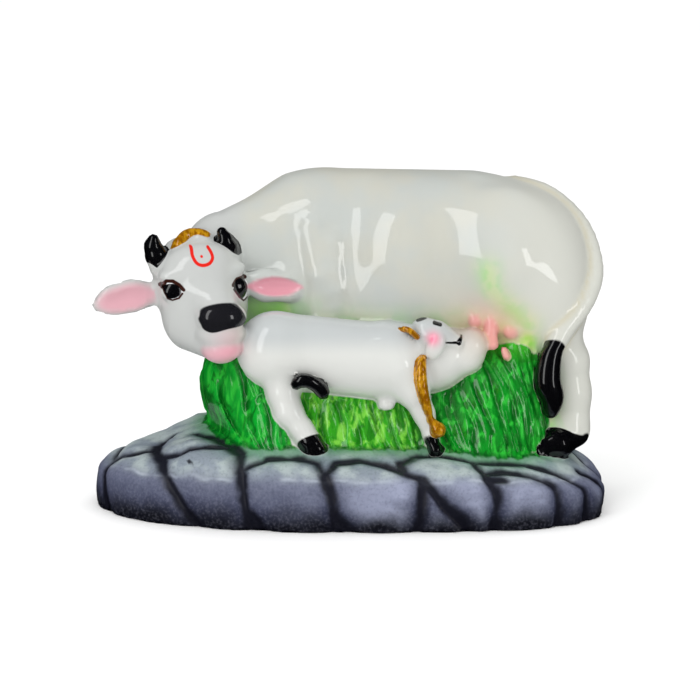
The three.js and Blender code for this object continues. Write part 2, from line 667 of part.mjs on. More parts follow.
class Planes {
  constructor() {
    this.m = new Float64Array(10);
  }

  addPlane(n, offset, weight) {
    const v = [n.x, n.y, n.z, offset];
    let at = 0;
    for (let i = 0; i < 4; i += 1) {
      for (let j = i; j < 4; j += 1) {
        this.m[at] += weight * v[i] * v[j];
        at += 1;
      }
    }
  }

  add(other) {
    for (let i = 0; i < 10; i += 1) {
      this.m[i] += other.m[i];
    }
    return this;
  }

  error(p) {
    const m = this.m;
    return m[0] * p.x * p.x + 2 * m[1] * p.x * p.y + 2 * m[2] * p.x * p.z + 2 * m[3] * p.x
      + m[4] * p.y * p.y + 2 * m[5] * p.y * p.z + 2 * m[6] * p.y
      + m[7] * p.z * p.z + 2 * m[8] * p.z + m[9];
  }

  // The point that lies closest to all the planes, or null where they don't fix one
  best() {
    const m = this.m;
    const square = new THREE.Matrix3().set(m[0], m[1], m[2], m[1], m[4], m[5], m[2], m[5], m[7]);
    const size = (m[0] + m[4] + m[7]) / 3;
    if (Math.abs(square.determinant()) < 1e-4 * size ** 3) {
      return null;
    }
    return new THREE.Vector3(-m[3], -m[6], -m[8]).applyMatrix3(square.invert());
  }
}

class Heap {
  constructor() {
    this.items = [];
  }

  push(item) {
    const list = this.items;
    let i = list.length;
    list.push(item);
    while (i > 0 && list[(i - 1) >> 1].cost > item.cost) {
      list[i] = list[(i - 1) >> 1];
      i = (i - 1) >> 1;
    }
    list[i] = item;
  }

  pop() {
    const list = this.items;
    const top = list[0];
    const item = list.pop();
    if (list.length) {
      let i = 0;
      while (2 * i + 1 < list.length) {
        let child = 2 * i + 1;
        if (child + 1 < list.length && list[child + 1].cost < list[child].cost) {
          child += 1;
        }
        if (list[child].cost >= item.cost) {
          break;
        }
        list[i] = list[child];
        i = child;
      }
      list[i] = item;
    }
    return top;
  }
}

const LENGTH_COST = 2e-4;
const LEAST_TURN = 0.35;

function thin({ points, triangles }, target) {
  const faces = triangles.map((t) => [...t]);
  const around = points.map(() => new Set());
  faces.forEach((f, i) => f.forEach((v) => around[v].add(i)));
  const planes = points.map(() => new Planes());
  const version = points.map(() => 0);
  const heap = new Heap();
  let left = faces.length;

  function normalOf(face, moved = -1, place = null) {
    const [a, b, c] = face.map((v) => (v === moved ? place : points[v]));
    return new THREE.Vector3().subVectors(b, a).cross(new THREE.Vector3().subVectors(c, a));
  }

  faces.forEach((f) => {
    const n = normalOf(f);
    const area = n.length();
    n.normalize();
    f.forEach((v) => planes[v].addPlane(n, -n.dot(points[v]), area));
  });

  function neighbours(v) {
    const found = new Set();
    around[v].forEach((i) => faces[i].forEach((w) => w !== v && found.add(w)));
    return found;
  }

  function offer(a, b) {
    const sum = new Planes().add(planes[a]).add(planes[b]);
    const span = points[a].distanceTo(points[b]);
    const middle = points[a].clone().lerp(points[b], 0.5);
    const best = sum.best();
    const choices = [middle, points[a].clone(), points[b].clone()];
    if (best && best.distanceTo(middle) < span) {
      choices.unshift(best);
    }
    let place = choices[0];
    choices.forEach((c) => {
      if (sum.error(c) < sum.error(place)) {
        place = c;
      }
    });
    const cost = sum.error(place) + LENGTH_COST * span ** 2 * (around[a].size + around[b].size);
    heap.push({ cost, a, b, place, stamp: version[a] + version[b] });
  }

  function turnsOver(v, other, place) {
    return [...around[v]].some((i) => {
      if (faces[i].includes(other)) {
        return false;
      }
      const before = normalOf(faces[i]).normalize();
      const after = normalOf(faces[i], v, place);
      return after.length() < 1e-4 || before.dot(after.normalize()) < LEAST_TURN;
    });
  }

  function canMerge(a, b, place) {
    const nearA = neighbours(a);
    const shared = [...neighbours(b)].filter((v) => nearA.has(v));
    return shared.length === 2 && !turnsOver(a, b, place) && !turnsOver(b, a, place);
  }

  function merge(a, b, place) {
    [...around[b]].forEach((i) => {
      if (faces[i].includes(a)) {
        faces[i].forEach((v) => around[v].delete(i));
        faces[i] = null;
        left -= 1;
      } else {
        faces[i] = faces[i].map((v) => (v === b ? a : v));
        around[a].add(i);
      }
    });
    around[b].clear();
    planes[a].add(planes[b]);
    points[a] = place;
    version[a] += 1;
    version[b] = -Infinity;
    neighbours(a).forEach((v) => {
      version[v] += 1;
    });
    neighbours(a).forEach((v) => offer(a, v));
  }

  faces.forEach((f) => f.forEach((v, i) => v < f[(i + 1) % 3] && offer(v, f[(i + 1) % 3])));
  while (left > target && heap.items.length) {
    const { a, b, place, stamp } = heap.pop();
    if (version[a] + version[b] >= 0 && canMerge(a, b, place)) {
      if (stamp === version[a] + version[b]) {
        merge(a, b, place);
      } else {
        offer(a, b);
      }
    }
  }
  return { points, triangles: faces.filter(Boolean) };
}

function asGeometry({ points, triangles }) {
  const used = new Map();
  const position = [];
  const index = triangles.flat().map((v) => {
    if (!used.has(v)) {
      used.set(v, used.size);
      position.push(...points[v].toArray());
    }
    return used.get(v);
  });
  const geometry = new THREE.BufferGeometry();
  geometry.setAttribute('position', new THREE.Float32BufferAttribute(position, 3));
  geometry.setIndex(index);
  return geometry;
}

const wasm = await Module();
wasm.setup();

function asSolid(geometry) {
  return new wasm.Manifold(new wasm.Mesh({
    numProp: 3,
    vertProperties: new Float32Array(geometry.getAttribute('position').array),
    triVerts: new Uint32Array(geometry.getIndex().array),
  }));
}

function fromSolid(solid) {
  const { vertProperties, triVerts } = solid.getMesh();
  const geometry = new THREE.BufferGeometry();
  geometry.setAttribute('position', new THREE.BufferAttribute(new Float32Array(vertProperties), 3));
  geometry.setIndex(new THREE.BufferAttribute(new Uint32Array(triVerts), 1));
  return geometry;
}

// Everything under the flat underside, as a block to cut away
function belowGround() {
  const block = new THREE.BoxGeometry(2 * WIDTH, 2 * DEPTH, 10);
  block.translate(0, 0, -5);
  block.deleteAttribute('normal');
  block.deleteAttribute('uv');
  return mergeVertices(block);
}

function makeStatueGeometry() {
  const box = new THREE.Box3(
    new THREE.Vector3(-WIDTH / 2 - 3, -DEPTH / 2 - 3, -UNDERSIDE_SPARE - 2),
    new THREE.Vector3(WIDTH / 2 + 3, DEPTH / 2 + 3, BACK_HEIGHT + 4),
  );
  const skin = thin(largestSkin(surfaceOf(makeStatue(), box, GRID_STEP)), TRIANGLES);
  return fromSolid(asSolid(asGeometry(skin)).subtract(asSolid(belowGround())));
}

const glazedResin = new THREE.MeshStandardMaterial({ color: 0xe4e3da, roughness: 0.15, metalness: 0 });
const statue = new THREE.Mesh(makeStatueGeometry(), glazedResin);
statue.name = 'cow_and_calf_statue';

const group = new THREE.Group();
group.add(statue);

export default group;
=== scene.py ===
"""Cow and calf statue: the form on a fine mesh, and its paint.

The form repeats the sub-parts of part.mjs, with the same sizes in millimetres. Grass strands, stone grit
and brush marks are a bump, and the rest is paint. Each sub-part is a signed distance, negative inside.
The paint's edges are distances too, kept on the mesh as attributes, so they stay sharp.
"""
import math

import bmesh
import bpy
import numpy as np
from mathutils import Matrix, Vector


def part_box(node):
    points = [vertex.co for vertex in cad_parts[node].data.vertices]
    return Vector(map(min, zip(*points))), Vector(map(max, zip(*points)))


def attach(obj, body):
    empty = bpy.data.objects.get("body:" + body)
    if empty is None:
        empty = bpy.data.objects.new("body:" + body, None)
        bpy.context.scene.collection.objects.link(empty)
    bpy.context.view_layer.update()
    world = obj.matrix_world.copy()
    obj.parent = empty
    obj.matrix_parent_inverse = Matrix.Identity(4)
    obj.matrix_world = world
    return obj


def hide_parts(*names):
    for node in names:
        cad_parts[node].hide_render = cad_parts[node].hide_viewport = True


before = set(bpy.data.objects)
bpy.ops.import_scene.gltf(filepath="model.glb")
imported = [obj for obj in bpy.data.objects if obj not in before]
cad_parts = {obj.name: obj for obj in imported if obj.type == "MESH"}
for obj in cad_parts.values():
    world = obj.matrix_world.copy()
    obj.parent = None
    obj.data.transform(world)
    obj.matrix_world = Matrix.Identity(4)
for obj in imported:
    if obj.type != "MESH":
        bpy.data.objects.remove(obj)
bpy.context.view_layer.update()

NODE = "cow_and_calf_statue"
WIDTH, DEPTH, BACK_HEIGHT = 114.3, 57.6, 75.0
MM = (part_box(NODE)[1][0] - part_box(NODE)[0][0]) / WIDTH

# Camera and light, as in the photograph
VIEW_ELEVATION = 11.0
VIEW_DISTANCE = 650.0
VIEW_HEIGHT = 34.9
FOCAL_PIXELS = 2912.0
IMAGE_PIXELS = 700.0

AMBIENT = 0.45
CEILING = 1.9

# Mesh
STEP = 0.98


# Vector and distance functions

def length(v):
    return np.sqrt(np.einsum("...i,...i->...", v, v))


def clip01(t):
    return np.clip(t, 0.0, 1.0)


def smooth(t):
    t = clip01(t)
    return t * t * (3 - 2 * t)


def soft_min(a, b, k):
    h = np.maximum(k - np.abs(a - b), 0) / k
    return np.minimum(a, b) - h * h * k / 4


def join(k, first, *others):
    for other in others:
        first = soft_min(first, other, k)
    return first


def hollow(k, form, tool):
    return -soft_min(-form, tool, k)


def turning(yaw, tilt, roll):
    """Columns are the turned axes: roll about X, then tilt about Y, then yaw about Z, in degrees."""
    a, b, c = np.radians([yaw, tilt, roll])
    about_z = np.array([[math.cos(a), -math.sin(a), 0], [math.sin(a), math.cos(a), 0], [0, 0, 1]])
    about_y = np.array([[math.cos(b), 0, math.sin(b)], [0, 1, 0], [-math.sin(b), 0, math.cos(b)]])
    about_x = np.array([[1, 0, 0], [0, math.cos(c), -math.sin(c)], [0, math.sin(c), math.cos(c)]])
    return about_z @ about_y @ about_x


def ellipsoid(p, centre, radii, yaw=0, tilt=0, roll=0):
    q = p - np.array(centre)
    if yaw or tilt or roll:
        q = q @ turning(yaw, tilt, roll)
    radii = np.array(radii)
    near = length(q / radii)
    slope = length(q / (radii * radii)) + 1e-9
    return near * (near - 1) / slope


def cone(p, start, end, start_radius, end_radius, flat=1.0):
    """A cone with round ends; flat below 1 thins it along Y."""
    squash = np.array([1, 1 / flat, 1])
    p, start, end = p * squash, start * squash, end * squash
    bone = end - start
    t = clip01((p - start) @ bone / (bone @ bone))
    return (length(p - start - t[..., None] * bone) - start_radius - t * (end_radius - start_radius)) * flat


def limb(p, path, radii, k=1.0, flat=1.0):
    bones = zip(path, path[1:], radii, radii[1:])
    return join(k, *[cone(p, start, end, r, end_r, flat) for start, end, r, end_r in bones])


def curve(path, bones):
    """Points of a smooth curve through the given ones, so many bones from point to point."""
    path = np.array(path, float)
    path = np.vstack([2 * path[0] - path[1], path, 2 * path[-1] - path[-2]])
    points = []
    for a, b, c, d in zip(path, path[1:], path[2:], path[3:]):
        for t in np.arange(bones) / bones:
            bend = (2 * a - 5 * b + 4 * c - d) * t * t + (3 * b - a - 3 * c + d) * t ** 3
            points.append(b + 0.5 * ((c - a) * t + bend))
    return np.array(points + [path[-2]])


def stroke(q, path):
    """Distance in a plane from the points q to a line of straight pieces."""
    best = np.full(q.shape[:-1], 1e3)
    path = np.array(path, float)
    for a, b in zip(path, path[1:]):
        t = clip01((q - a) @ (b - a) / ((b - a) @ (b - a)))
        best = np.minimum(best, length(q - a - t[..., None] * (b - a)))
    return best


def patch(q, outline):
    """Distance in a plane to a closed outline, negative inside it."""
    ring = np.vstack([outline, outline[:1]])
    inside = np.zeros(q.shape[:-1], bool)
    for (ax, ay), (bx, by) in zip(ring, ring[1:]):
        spans = (ay > q[..., 1]) != (by > q[..., 1])
        reach = ax + (q[..., 1] - ay) * (bx - ax) / (by - ay + 1e-12)
        inside ^= spans & (q[..., 0] < reach)
    return np.where(inside, -1, 1) * stroke(q, ring)


# Stone base

BASE_RIM_RADIUS = 3.0
BASE_RIM_DROP = 3.2
BASE_SHOULDER = 10.0
BASE_FOOT, BASE_FOOT_HEIGHT = 0.3, 5.0
BASE_LEAN, BASE_LEAN_START, BASE_LEAN_HEIGHT = 0.8, 3.0, 9.0
JOINT_DEPTH, JOINT_HALF_WIDTH = 0.5, 1.15
STONE_CROWN, STONE_CROWN_HALF_WIDTH = 0.5, 3.2
STONE_UNEVENNESS = 0.14
TOP_X = [-58, -51, -46.5, -42, -38.5, -35, -30, -20, 0, 25, 40, 50, 58]
TOP_Z = [13.2, 13.9, 14.1, 14.7, 16.2, 17.6, 17.8, 17.0, 16.0, 15.6, 13.9, 12.1, 10.0]


def plan_distance(x, y):
    n = 2.1 + 1.2 * smooth((x + 20) / 60)
    ax, ay = np.abs(x) / (WIDTH / 2) + 1e-6, np.abs(y) / (DEPTH / 2) + 1e-6
    g = (ax ** n + ay ** n) ** (1 / n)
    slope = np.hypot((ax / g) ** (n - 1) / (WIDTH / 2), (ay / g) ** (n - 1) / (DEPTH / 2))
    return (g - 1) / slope


def stone_block(p):
    x, y, z = p[..., 0], p[..., 1], p[..., 2]
    plan = plan_distance(x, y)
    top = np.interp(x, TOP_X, TOP_Z) - BASE_RIM_DROP * (1 - smooth(-plan / BASE_SHOULDER))
    foot = BASE_FOOT * clip01((BASE_FOOT_HEIGHT - z) / BASE_FOOT_HEIGHT) ** 2
    lean = BASE_LEAN * clip01((z - BASE_LEAN_START) / BASE_LEAN_HEIGHT) ** 2
    out = plan + foot + lean + BASE_RIM_RADIUS
    over = z - top + BASE_RIM_RADIUS
    corner = np.hypot(np.maximum(out, 0), np.maximum(over, 0))
    return corner + np.minimum(np.maximum(out, over), 0) - BASE_RIM_RADIUS


def rim_arcs(bearings):
    """Distance along the rim at each bearing, zero at the middle of the front, positive towards +X."""
    side, ahead = np.sin(bearings), -np.cos(bearings)
    near, far = np.zeros(len(bearings)), np.full(len(bearings), WIDTH)
    for _ in range(40):
        r = (near + far) / 2
        inside = plan_distance(r * side, r * ahead) < 0
        near, far = np.where(inside, r, near), np.where(inside, far, r)
    steps = np.hypot(np.diff(near * side), np.diff(near * ahead))
    arcs = np.concatenate([[0], np.cumsum(steps)])
    return arcs - arcs[len(arcs) // 2]


BEARINGS = np.linspace(-math.pi, math.pi, 121)
RIM_ARCS = rim_arcs(BEARINGS)
PERIMETER = RIM_ARCS[-1] - RIM_ARCS[0]

# Joints between the stones of the front: distance along the rim, then up the wall and in over the top
FRONT_JOINTS = [
    [(-60, 0), (-62, 6), (-64, 12), (-64, 17), (-59, 23)],
    [(-33, 0), (-37, 4), (-43, 12), (-49, 18), (-58, 23), (-72, 33)],
    [(-22, 0), (-24, 8), (-25, 14), (-29, 21)],
    [(-23, 5), (-18, 0)],
    [(-3.5, 0), (-4, 8), (-6, 15)],
    [(-4, 5), (0, 1)],
    [(15, 0), (16, 7), (16.5, 14)],
    [(16.5, 13.5), (21, 7), (27, 1)],
    [(32, 0), (33, 9), (32, 13), (36, 13.5)],
    [(47, 0), (47, 11), (44, 15), (39, 17), (34, 16)],
    [(55, 0), (55, 9), (52, 16), (47, 21), (40, 21), (34, 21)],
    [(66, 0), (65, 8), (61, 15)],
    [(-51, 19.5), (-46, 20.5), (-41, 24), (-35, 25), (-30, 22), (-25, 14)],
    [(-62, 37), (-52, 33.5), (-42, 28.5), (-36, 26), (-30, 22)],
    [(-25, 16), (-22, 20.5), (-15, 22), (-9, 20), (-6, 15)],
    [(-6, 15), (-4, 20), (3, 21.5), (9, 19.5), (13, 16), (17, 13.5)],
    [(13, 16), (14, 20), (20, 24), (28, 25), (34, 21), (33, 16), (32, 13)],
]
BACK_JOINTS, BACK_JOINT_START, BACK_JOINT_PITCH = 8, 73, 19


def back_joint(i):
    at = BACK_JOINT_START + BACK_JOINT_PITCH * i
    lean = 2.5 * math.sin(2.1 * i)
    return [(at, 0), (at + lean, 7), (at + lean, 13), (at + 7, 19), (at + 17, 15)]


JOINTS = FRONT_JOINTS + [back_joint(i) for i in range(BACK_JOINTS)]


def unrolled(p):
    """Distance along the rim, and distance up the wall and in over the top."""
    x, y, z = p[..., 0], p[..., 1], p[..., 2]
    return np.interp(np.arctan2(x, -y), BEARINGS, RIM_ARCS), z - plan_distance(x, y)


def joint_distance(p):
    arc, up = unrolled(p)
    best = np.full(arc.shape, 99.0)
    for line in JOINTS:
        for (a, b), (c, d) in zip(line, line[1:]):
            along = arc - a
            along = along - PERIMETER * np.round(along / PERIMETER)
            t = clip01((along * (c - a) + (up - b) * (d - b)) / ((c - a) ** 2 + (d - b) ** 2))
            best = np.minimum(best, np.hypot(along - t * (c - a), up - b - t * (d - b)))
    return best


def stone_base(p):
    block = stone_block(p)
    near = np.abs(block) < 2.5
    joint = joint_distance(p[near])
    groove = JOINT_DEPTH * np.exp(-(joint / JOINT_HALF_WIDTH) ** 2)
    crown = STONE_CROWN * np.exp(-(joint / STONE_CROWN_HALF_WIDTH) ** 2)
    arc, up = unrolled(p[near])
    waves = np.sin(arc / 1.7 + 1.7 * np.sin(up / 3.1)) * np.sin(up / 2.1 + 1.3 * np.sin(arc / 4.3))
    block[near] += groove + crown + STONE_UNEVENNESS * (1 + waves)
    return block


# Grass

BLADE_WIDTH, BLADE_RISE = 3.0, 0.32
THIN_BLADE_WIDTH, THIN_BLADE_RISE = 1.7, 0.19


def blade_waves(p):
    """Height of the broad and the thin blades' relief, from -1 to 1."""
    x, y, z = p[..., 0], p[..., 1], p[..., 2]
    u = x + 0.45 * y + 0.1 * (z - 18)
    turn = 2 * math.pi
    sway = 1.7 * np.sin(z / 4.6 + x / 6) + np.sin(z / 1.9 + x / 2.3)
    broad = np.sin(turn * u / BLADE_WIDTH + sway) * (0.6 + 0.4 * np.sin(z / 2.6 + u))
    thin = np.sin(turn * u / THIN_BLADE_WIDTH + 1.3 * sway + 1.3) * (0.6 + 0.4 * np.sin(z / 2.1 + 1.7 * u))
    return broad, thin


def grass(p):
    left = join(5, ellipsoid(p, (-20, -2, 28), (13.2, 11.5, 13)), ellipsoid(p, (-17, -6, 19), (10, 12.5, 10)))
    middle = join(4, ellipsoid(p, (2, -3, 23), (24, 11.5, 12)), ellipsoid(p, (1, -5, 17), (26, 11.5, 8)))
    right = join(5,
                 ellipsoid(p, (29, 0, 23.5), (12.5, 12.5, 13)),
                 ellipsoid(p, (29, -6, 17), (14.5, 12, 9)),
                 ellipsoid(p, (37, -1.5, 25.5), (6.5, 11.5, 15.5)))
    back = join(5, ellipsoid(p, (-14, 6, 26), (19, 14, 18)), ellipsoid(p, (20, 7, 26), (30, 15.5, 18)))
    broad, thin = blade_waves(p)
    return join(4, left, middle, right, back) - BLADE_RISE * broad - THIN_BLADE_RISE * thin


# Cow

BARREL_RADIUS, BARREL_FLATNESS = 18.6, 0.8
BARREL_Z = BACK_HEIGHT - BARREL_RADIUS - 0.2
HEAD_AT = np.array([-32.6, -9.5, 51.8])
HEAD_YAW, HEAD_ROLL = 13.0, 5.0
TAIL_RADIUS, TUFT_RADIUS, TUFT_END_RADIUS = 2.0, 2.75, 1.5


def V(*numbers):
    return np.array(numbers, float)


def cow_body(p):
    withers, loin = V(-3.8, 8.6, BARREL_Z - 0.2), V(26, 6.2, BARREL_Z - 0.3)
    barrel = cone(p, withers, loin, BARREL_RADIUS, BARREL_RADIUS - 0.1, BARREL_FLATNESS)
    rump = ellipsoid(p, (37.6, 5.5, 51.6), (17.4, 14.5, 19.4))
    flank = ellipsoid(p, (12, 3, 56), (14.5, 14, 15.5))
    neck = cone(p, V(-12, 5, 58), V(-27.5, 0, 56.6), 14.8, 9.6, BARREL_FLATNESS)
    chest = ellipsoid(p, (-17, 4.5, 46), (12.5, 9.5, 15))
    shoulder = ellipsoid(p, (-7, 0.5, 49), (8, 8, 16), tilt=6)
    haunch = ellipsoid(p, (38.6, -2.1, 50.8), (11.8, 8.8, 20.6), tilt=-20)
    hip = ellipsoid(p, (25.5, -2, 59.5), (16.5, 7.5, 10.5), yaw=-33, tilt=22)
    belly = ellipsoid(p, (12, 3, 46), (26, 12.5, 14))
    folds = [
        limb(p, [V(-15.5, -2.2, 63), V(-13, -4.9, 54), V(-13, -3.4, 42)], [1.2, 2, 1.5]),
        limb(p, [V(-8.5, -5.2, 63), V(-6.6, -7.6, 53), V(-7, -6.2, 40)], [1.2, 1.9, 1.5]),
        limb(p, [V(-3.6, -6.4, 60), V(-3, -7.4, 50), V(-3.6, -5.2, 41)], [1, 1.3, 1.2]),
    ]
    trunk = join(4, join(3, join(4, join(5, barrel, rump, neck, chest), flank, belly), shoulder), hip)
    return join(3.5, join(5, trunk, haunch), *folds)


def cow_legs(p):
    near_path = [V(43.8, -1, 40), V(48.1, -2.5, 33), V(48.7, -3.3, 26), V(48.8, -4.4, 18)]
    near = limb(p, near_path, [4.8, 4.8, 4.7, 4.7], 2)
    ankle = ellipsoid(p, (46.6, -5.6, 18.6), (5.6, 3.8, 3.4))
    hind_path = [V(41, 14, 44), V(44.6, 16.2, 33), V(44.4, 17.2, 24), V(44, 17.2, 17)]
    hind = limb(p, hind_path, [6.4, 4.2, 3.2, 3.2], 2)
    fore_path = [V(-8, 13, 46), V(-11, 15.5, 34), V(-12, 16.5, 25), V(-12.5, 16.5, 17)]
    fore = limb(p, fore_path, [7, 4.2, 2.9, 3], 2)
    return join(2, near, ankle, hind, fore)


def cow_hooves(p):
    heel, ball, toe = V(50.6, -6.4, 17), V(45.8, -8.8, 15.5), V(39.8, -12, 14)
    near = join(1, cone(p, heel, ball, 2.3, 3.5), cone(p, ball, toe, 3.5, 1.7))
    hind = ellipsoid(p, (44.2, 18.2, 16.6), (4.4, 3.6, 2.6))
    fore = ellipsoid(p, (-13.4, 17.2, 17.4), (4.2, 3.4, 2.6))
    return join(0.8, near, hind, fore)


OVER_RUMP = [(37, 8, 70.9), (44.6, 7, 68.5), (51.4, 4, 62.1), (54.1, 0, 53.5)]
OVER_THIGH = [(52, -4.5, 47), (47.3, -8, 41.2), (45.3, -9.4, 38.6)]
TAIL = curve(OVER_RUMP + OVER_THIGH, 4)
TUFT = curve([
    (45.6, -9.8, 38.8), (43.9, -10.6, 35), (43.4, -11.4, 30), (44.4, -11.4, 26.5), (44.2, -11, 23.4),
], 4)


def cow_tail(p):
    return limb(p, TAIL, np.linspace(TAIL_RADIUS, TAIL_RADIUS - 0.1, len(TAIL)))


def cow_tuft(p):
    belly = np.sin(math.pi * (0.02 + 0.93 * np.linspace(0, 1, len(TUFT))))
    return limb(p, TUFT, TUFT_END_RADIUS + (TUFT_RADIUS - TUFT_END_RADIUS) * belly, 0.5)


UDDER = V(30.5, -2.5, 43.5)
TEATS = [
    (V(27.1, -7.2, 44.8), V(27.5, -8.2, 43), 1.25),
    (V(31.1, -7.6, 44.3), V(31, -9, 41.6), 1.4),
    (V(34.4, -7.2, 44), V(35.4, -8.8, 40.8), 1.45),
    (V(31, -9.4, 40.2), V(31.3, -10.3, 38.2), 1.3),
    (V(33.8, -10, 36.9), V(34.3, -10.6, 35.6), 0.8),
]


def teats(p):
    return join(1.2, *[cone(p, root, tip, radius, radius) for root, tip, radius in TEATS])


def udder(p):
    return join(1.2, ellipsoid(p, UDDER, (8, 6, 6)), teats(p))


def in_head_frame(p):
    """Coordinates in the cow's head: x to the viewer's right, y forward out of the face, z up."""
    yaw, roll = math.radians(HEAD_YAW), math.radians(HEAD_ROLL)
    side = V(math.cos(yaw), math.sin(yaw), 0)
    forward = V(math.sin(yaw), -math.cos(yaw), 0)
    up = V(0, 0, 1)
    right = math.cos(roll) * side + math.sin(roll) * up
    top = math.cos(roll) * up - math.sin(roll) * side
    return (p - HEAD_AT) @ np.array([right, forward, top]).T


def face_form(q):
    skull = ellipsoid(q, (-0.3, 0, 1), (9.6, 7.8, 7.6))
    forehead = ellipsoid(q, (-0.6, 2.2, 4.2), (7.6, 4.8, 4.6))
    muzzle = cone(q, V(0.3, 3.5, -2.6), V(1.7, 9.6, -6.8), 6.6, 4.9)
    jaw = cone(q, V(-1.5, 1.5, -8.6), V(1.6, 9, -12.2), 6.9, 4.3)
    left_cheek = ellipsoid(q, (-4.7, 1.5, -5.6), (4.6, 5.6, 6.2))
    right_cheek = ellipsoid(q, (5.2, 1, -5.4), (4.4, 5.2, 6.2))
    upper_lip = ellipsoid(q, (1.8, 9.9, -9.9), (4.9, 4, 2), tilt=3)
    left_brow = ellipsoid(q, (-6.2, 4.6, 2.6), (3.6, 2, 1.6), tilt=14)
    right_brow = ellipsoid(q, (6.2, 4.2, 2.4), (3.2, 2, 1.6), tilt=-16)
    head = join(3, skull, forehead, muzzle, jaw, left_cheek, right_cheek)
    return join(1.5, head, upper_lip, left_brow, right_brow)


def eyes(q):
    left = ellipsoid(q, (-7.3, 4.6, -0.2), (2.6, 2.2, 2.1))
    right = ellipsoid(q, (7.2, 4.2, -1.1), (2.3, 2.2, 2.3))
    return join(0.5, left, right)


def nose(q):
    pad = ellipsoid(q, (2.3, 11, -5.9), (5.1, 3.5, 3.2), tilt=7, roll=-18)
    return join(1.5, pad, ellipsoid(q, (-0.8, 10.8, -5.7), (2.5, 2.9, 2.6)))


def tongue(q):
    return ellipsoid(q, (1.6, 9.8, -13.2), (4.3, 4, 2.9))


def horns(q):
    left = [V(-8.2, -0.2, 5), V(-9.2, -0.2, 7.2), V(-9.8, 0, 9.4), V(-9.6, 0.4, 10.9)]
    right = [V(6.7, 0.2, 4.6), V(6.6, 0.3, 6.8), V(6.1, 0.4, 8.9), V(5.6, 0.5, 10.6)]
    return join(1, limb(q, left, [2.9, 2.45, 1.9, 1.2], 0.5), limb(q, right, [2.3, 2.2, 1.75, 1.15], 0.5))


def left_ear_hollow(q):
    return ellipsoid(q, (-16.6, 1, -1.5), (6.2, 1.5, 2.3), tilt=-5)


def left_ear(q):
    path = [V(-9.5, -1.5, -1.6), V(-15.5, -1, -1.2), V(-20, -1, -1.7), V(-23.3, -1.2, -2.4)]
    return hollow(0.6, limb(q, path, [2.4, 2.9, 2.4, 0.9], 1.5, 0.45), left_ear_hollow(q))


def right_ear_hollow(q):
    return ellipsoid(q, (16, 4.3, -2.3), (5.7, 1.9, 2.1), yaw=2, tilt=7)


def right_ear(q):
    path = [V(9.5, 1.2, -0.8), V(14, 1.9, -2.1), V(19, 2.5, -3), V(24.6, 2.3, -3.9)]
    return hollow(0.4, limb(q, path, [2, 3.1, 2.7, 0.9], 1.5, 0.55), right_ear_hollow(q))


def poll(q):
    left = ellipsoid(q, (-3.6, -1.8, 8), (3.4, 3, 2.2))
    right = ellipsoid(q, (0.9, -2.2, 8.8), (3.6, 3.2, 2.4))
    return join(1.5, left, right)


NAPE_BAND = curve([(-4.9, 0.8, 7.7), (-4, 0.2, 9.5), (-2.2, -0.8, 10.8), (0, -1.2, 11), (2, -0.5, 10.2)], 3)


def nape_band(q):
    return limb(q, NAPE_BAND, [1.0] * len(NAPE_BAND), 0.3)


# Calf

CALF_RADIUS, CALF_FLATNESS = 8.2, 0.85


def calf_body(p):
    trunk = cone(p, V(-15.5, -12.6, 37.4), V(6.5, -12.4, 34.9), CALF_RADIUS, CALF_RADIUS + 0.2, CALF_FLATNESS)
    rump = ellipsoid(p, (-17, -14.4, 38), (7.6, 6.2, 7.5))
    shoulder = ellipsoid(p, (9.5, -14, 34.8), (5.2, 5.4, 8), tilt=-22)
    neck = cone(p, V(9.5, -12, 36.6), V(16.5, -11.6, 38.6), 6.4, 4.4, CALF_FLATNESS)
    chest = ellipsoid(p, (19, -9.5, 34.4), (9, 6.4, 6.4), tilt=-28)
    return join(2.5, trunk, rump, shoulder, neck, chest)


def calf_legs(p):
    thigh = [V(-14.6, -14.6, 33), V(-14.7, -15.6, 28.6), V(-13.4, -16.8, 24.4)]
    hind = limb(p, thigh + [V(-10.5, -17.8, 20.6), V(-9.1, -18.2, 18.6)], [3.8, 3.3, 3, 2.4, 2.4], 1.5)
    path = [V(10.8, -15, 33.5), V(13.7, -15.6, 28.8), V(16.1, -16.2, 24), V(17.7, -16.8, 18.8)]
    elbow = ellipsoid(p, (7.9, -15.5, 25.6), (1.8, 1.6, 1.1))
    return join(1, hind, limb(p, path, [4.8, 3.3, 2.1, 1.7], 2), elbow)


def calf_hooves(p):
    hind = join(0.6,
                ellipsoid(p, (-8.6, -18.8, 18.2), (2.8, 2.6, 2), tilt=8),
                ellipsoid(p, (-7.7, -19.2, 16.8), (2.6, 2.4, 1.9)))
    return join(0.5, hind, cone(p, V(17.5, -17.2, 19), V(18.7, -18.2, 16.2), 1.35, 1.35))


CALF_TUFT = curve([
    (-11.7, -20.4, 31.3), (-10.5, -20.8, 32.3), (-8.6, -20.6, 31.9), (-6.8, -19.8, 30.6), (-5.8, -19.2, 29.2),
], 3)


def calf_tuft(p):
    return limb(p, CALF_TUFT, np.linspace(1.25, 1.5, len(CALF_TUFT)), 0.5)


def calf_head(p):
    skull = ellipsoid(p, (18, -13.4, 41), (4.5, 3.6, 3), tilt=18)
    crest = ellipsoid(p, (16, -13.4, 43.1), (2.1, 2.4, 1.5))
    return join(1.2, skull, crest, cone(p, V(19, -13.8, 41), V(23.4, -13.5, 39.1), 2.9, 1.8))


def calf_ear(p):
    return ellipsoid(p, (18.6, -16.6, 38.9), (1.9, 1.4, 3.1), tilt=25)


def suckling_fold(p):
    upper = ellipsoid(p, (26.6, -10.2, 37.9), (3.6, 4.2, 3.8))
    lower = ellipsoid(p, (24.9, -9.8, 34.7), (4.2, 4.4, 3.2))
    return join(2, upper, lower)


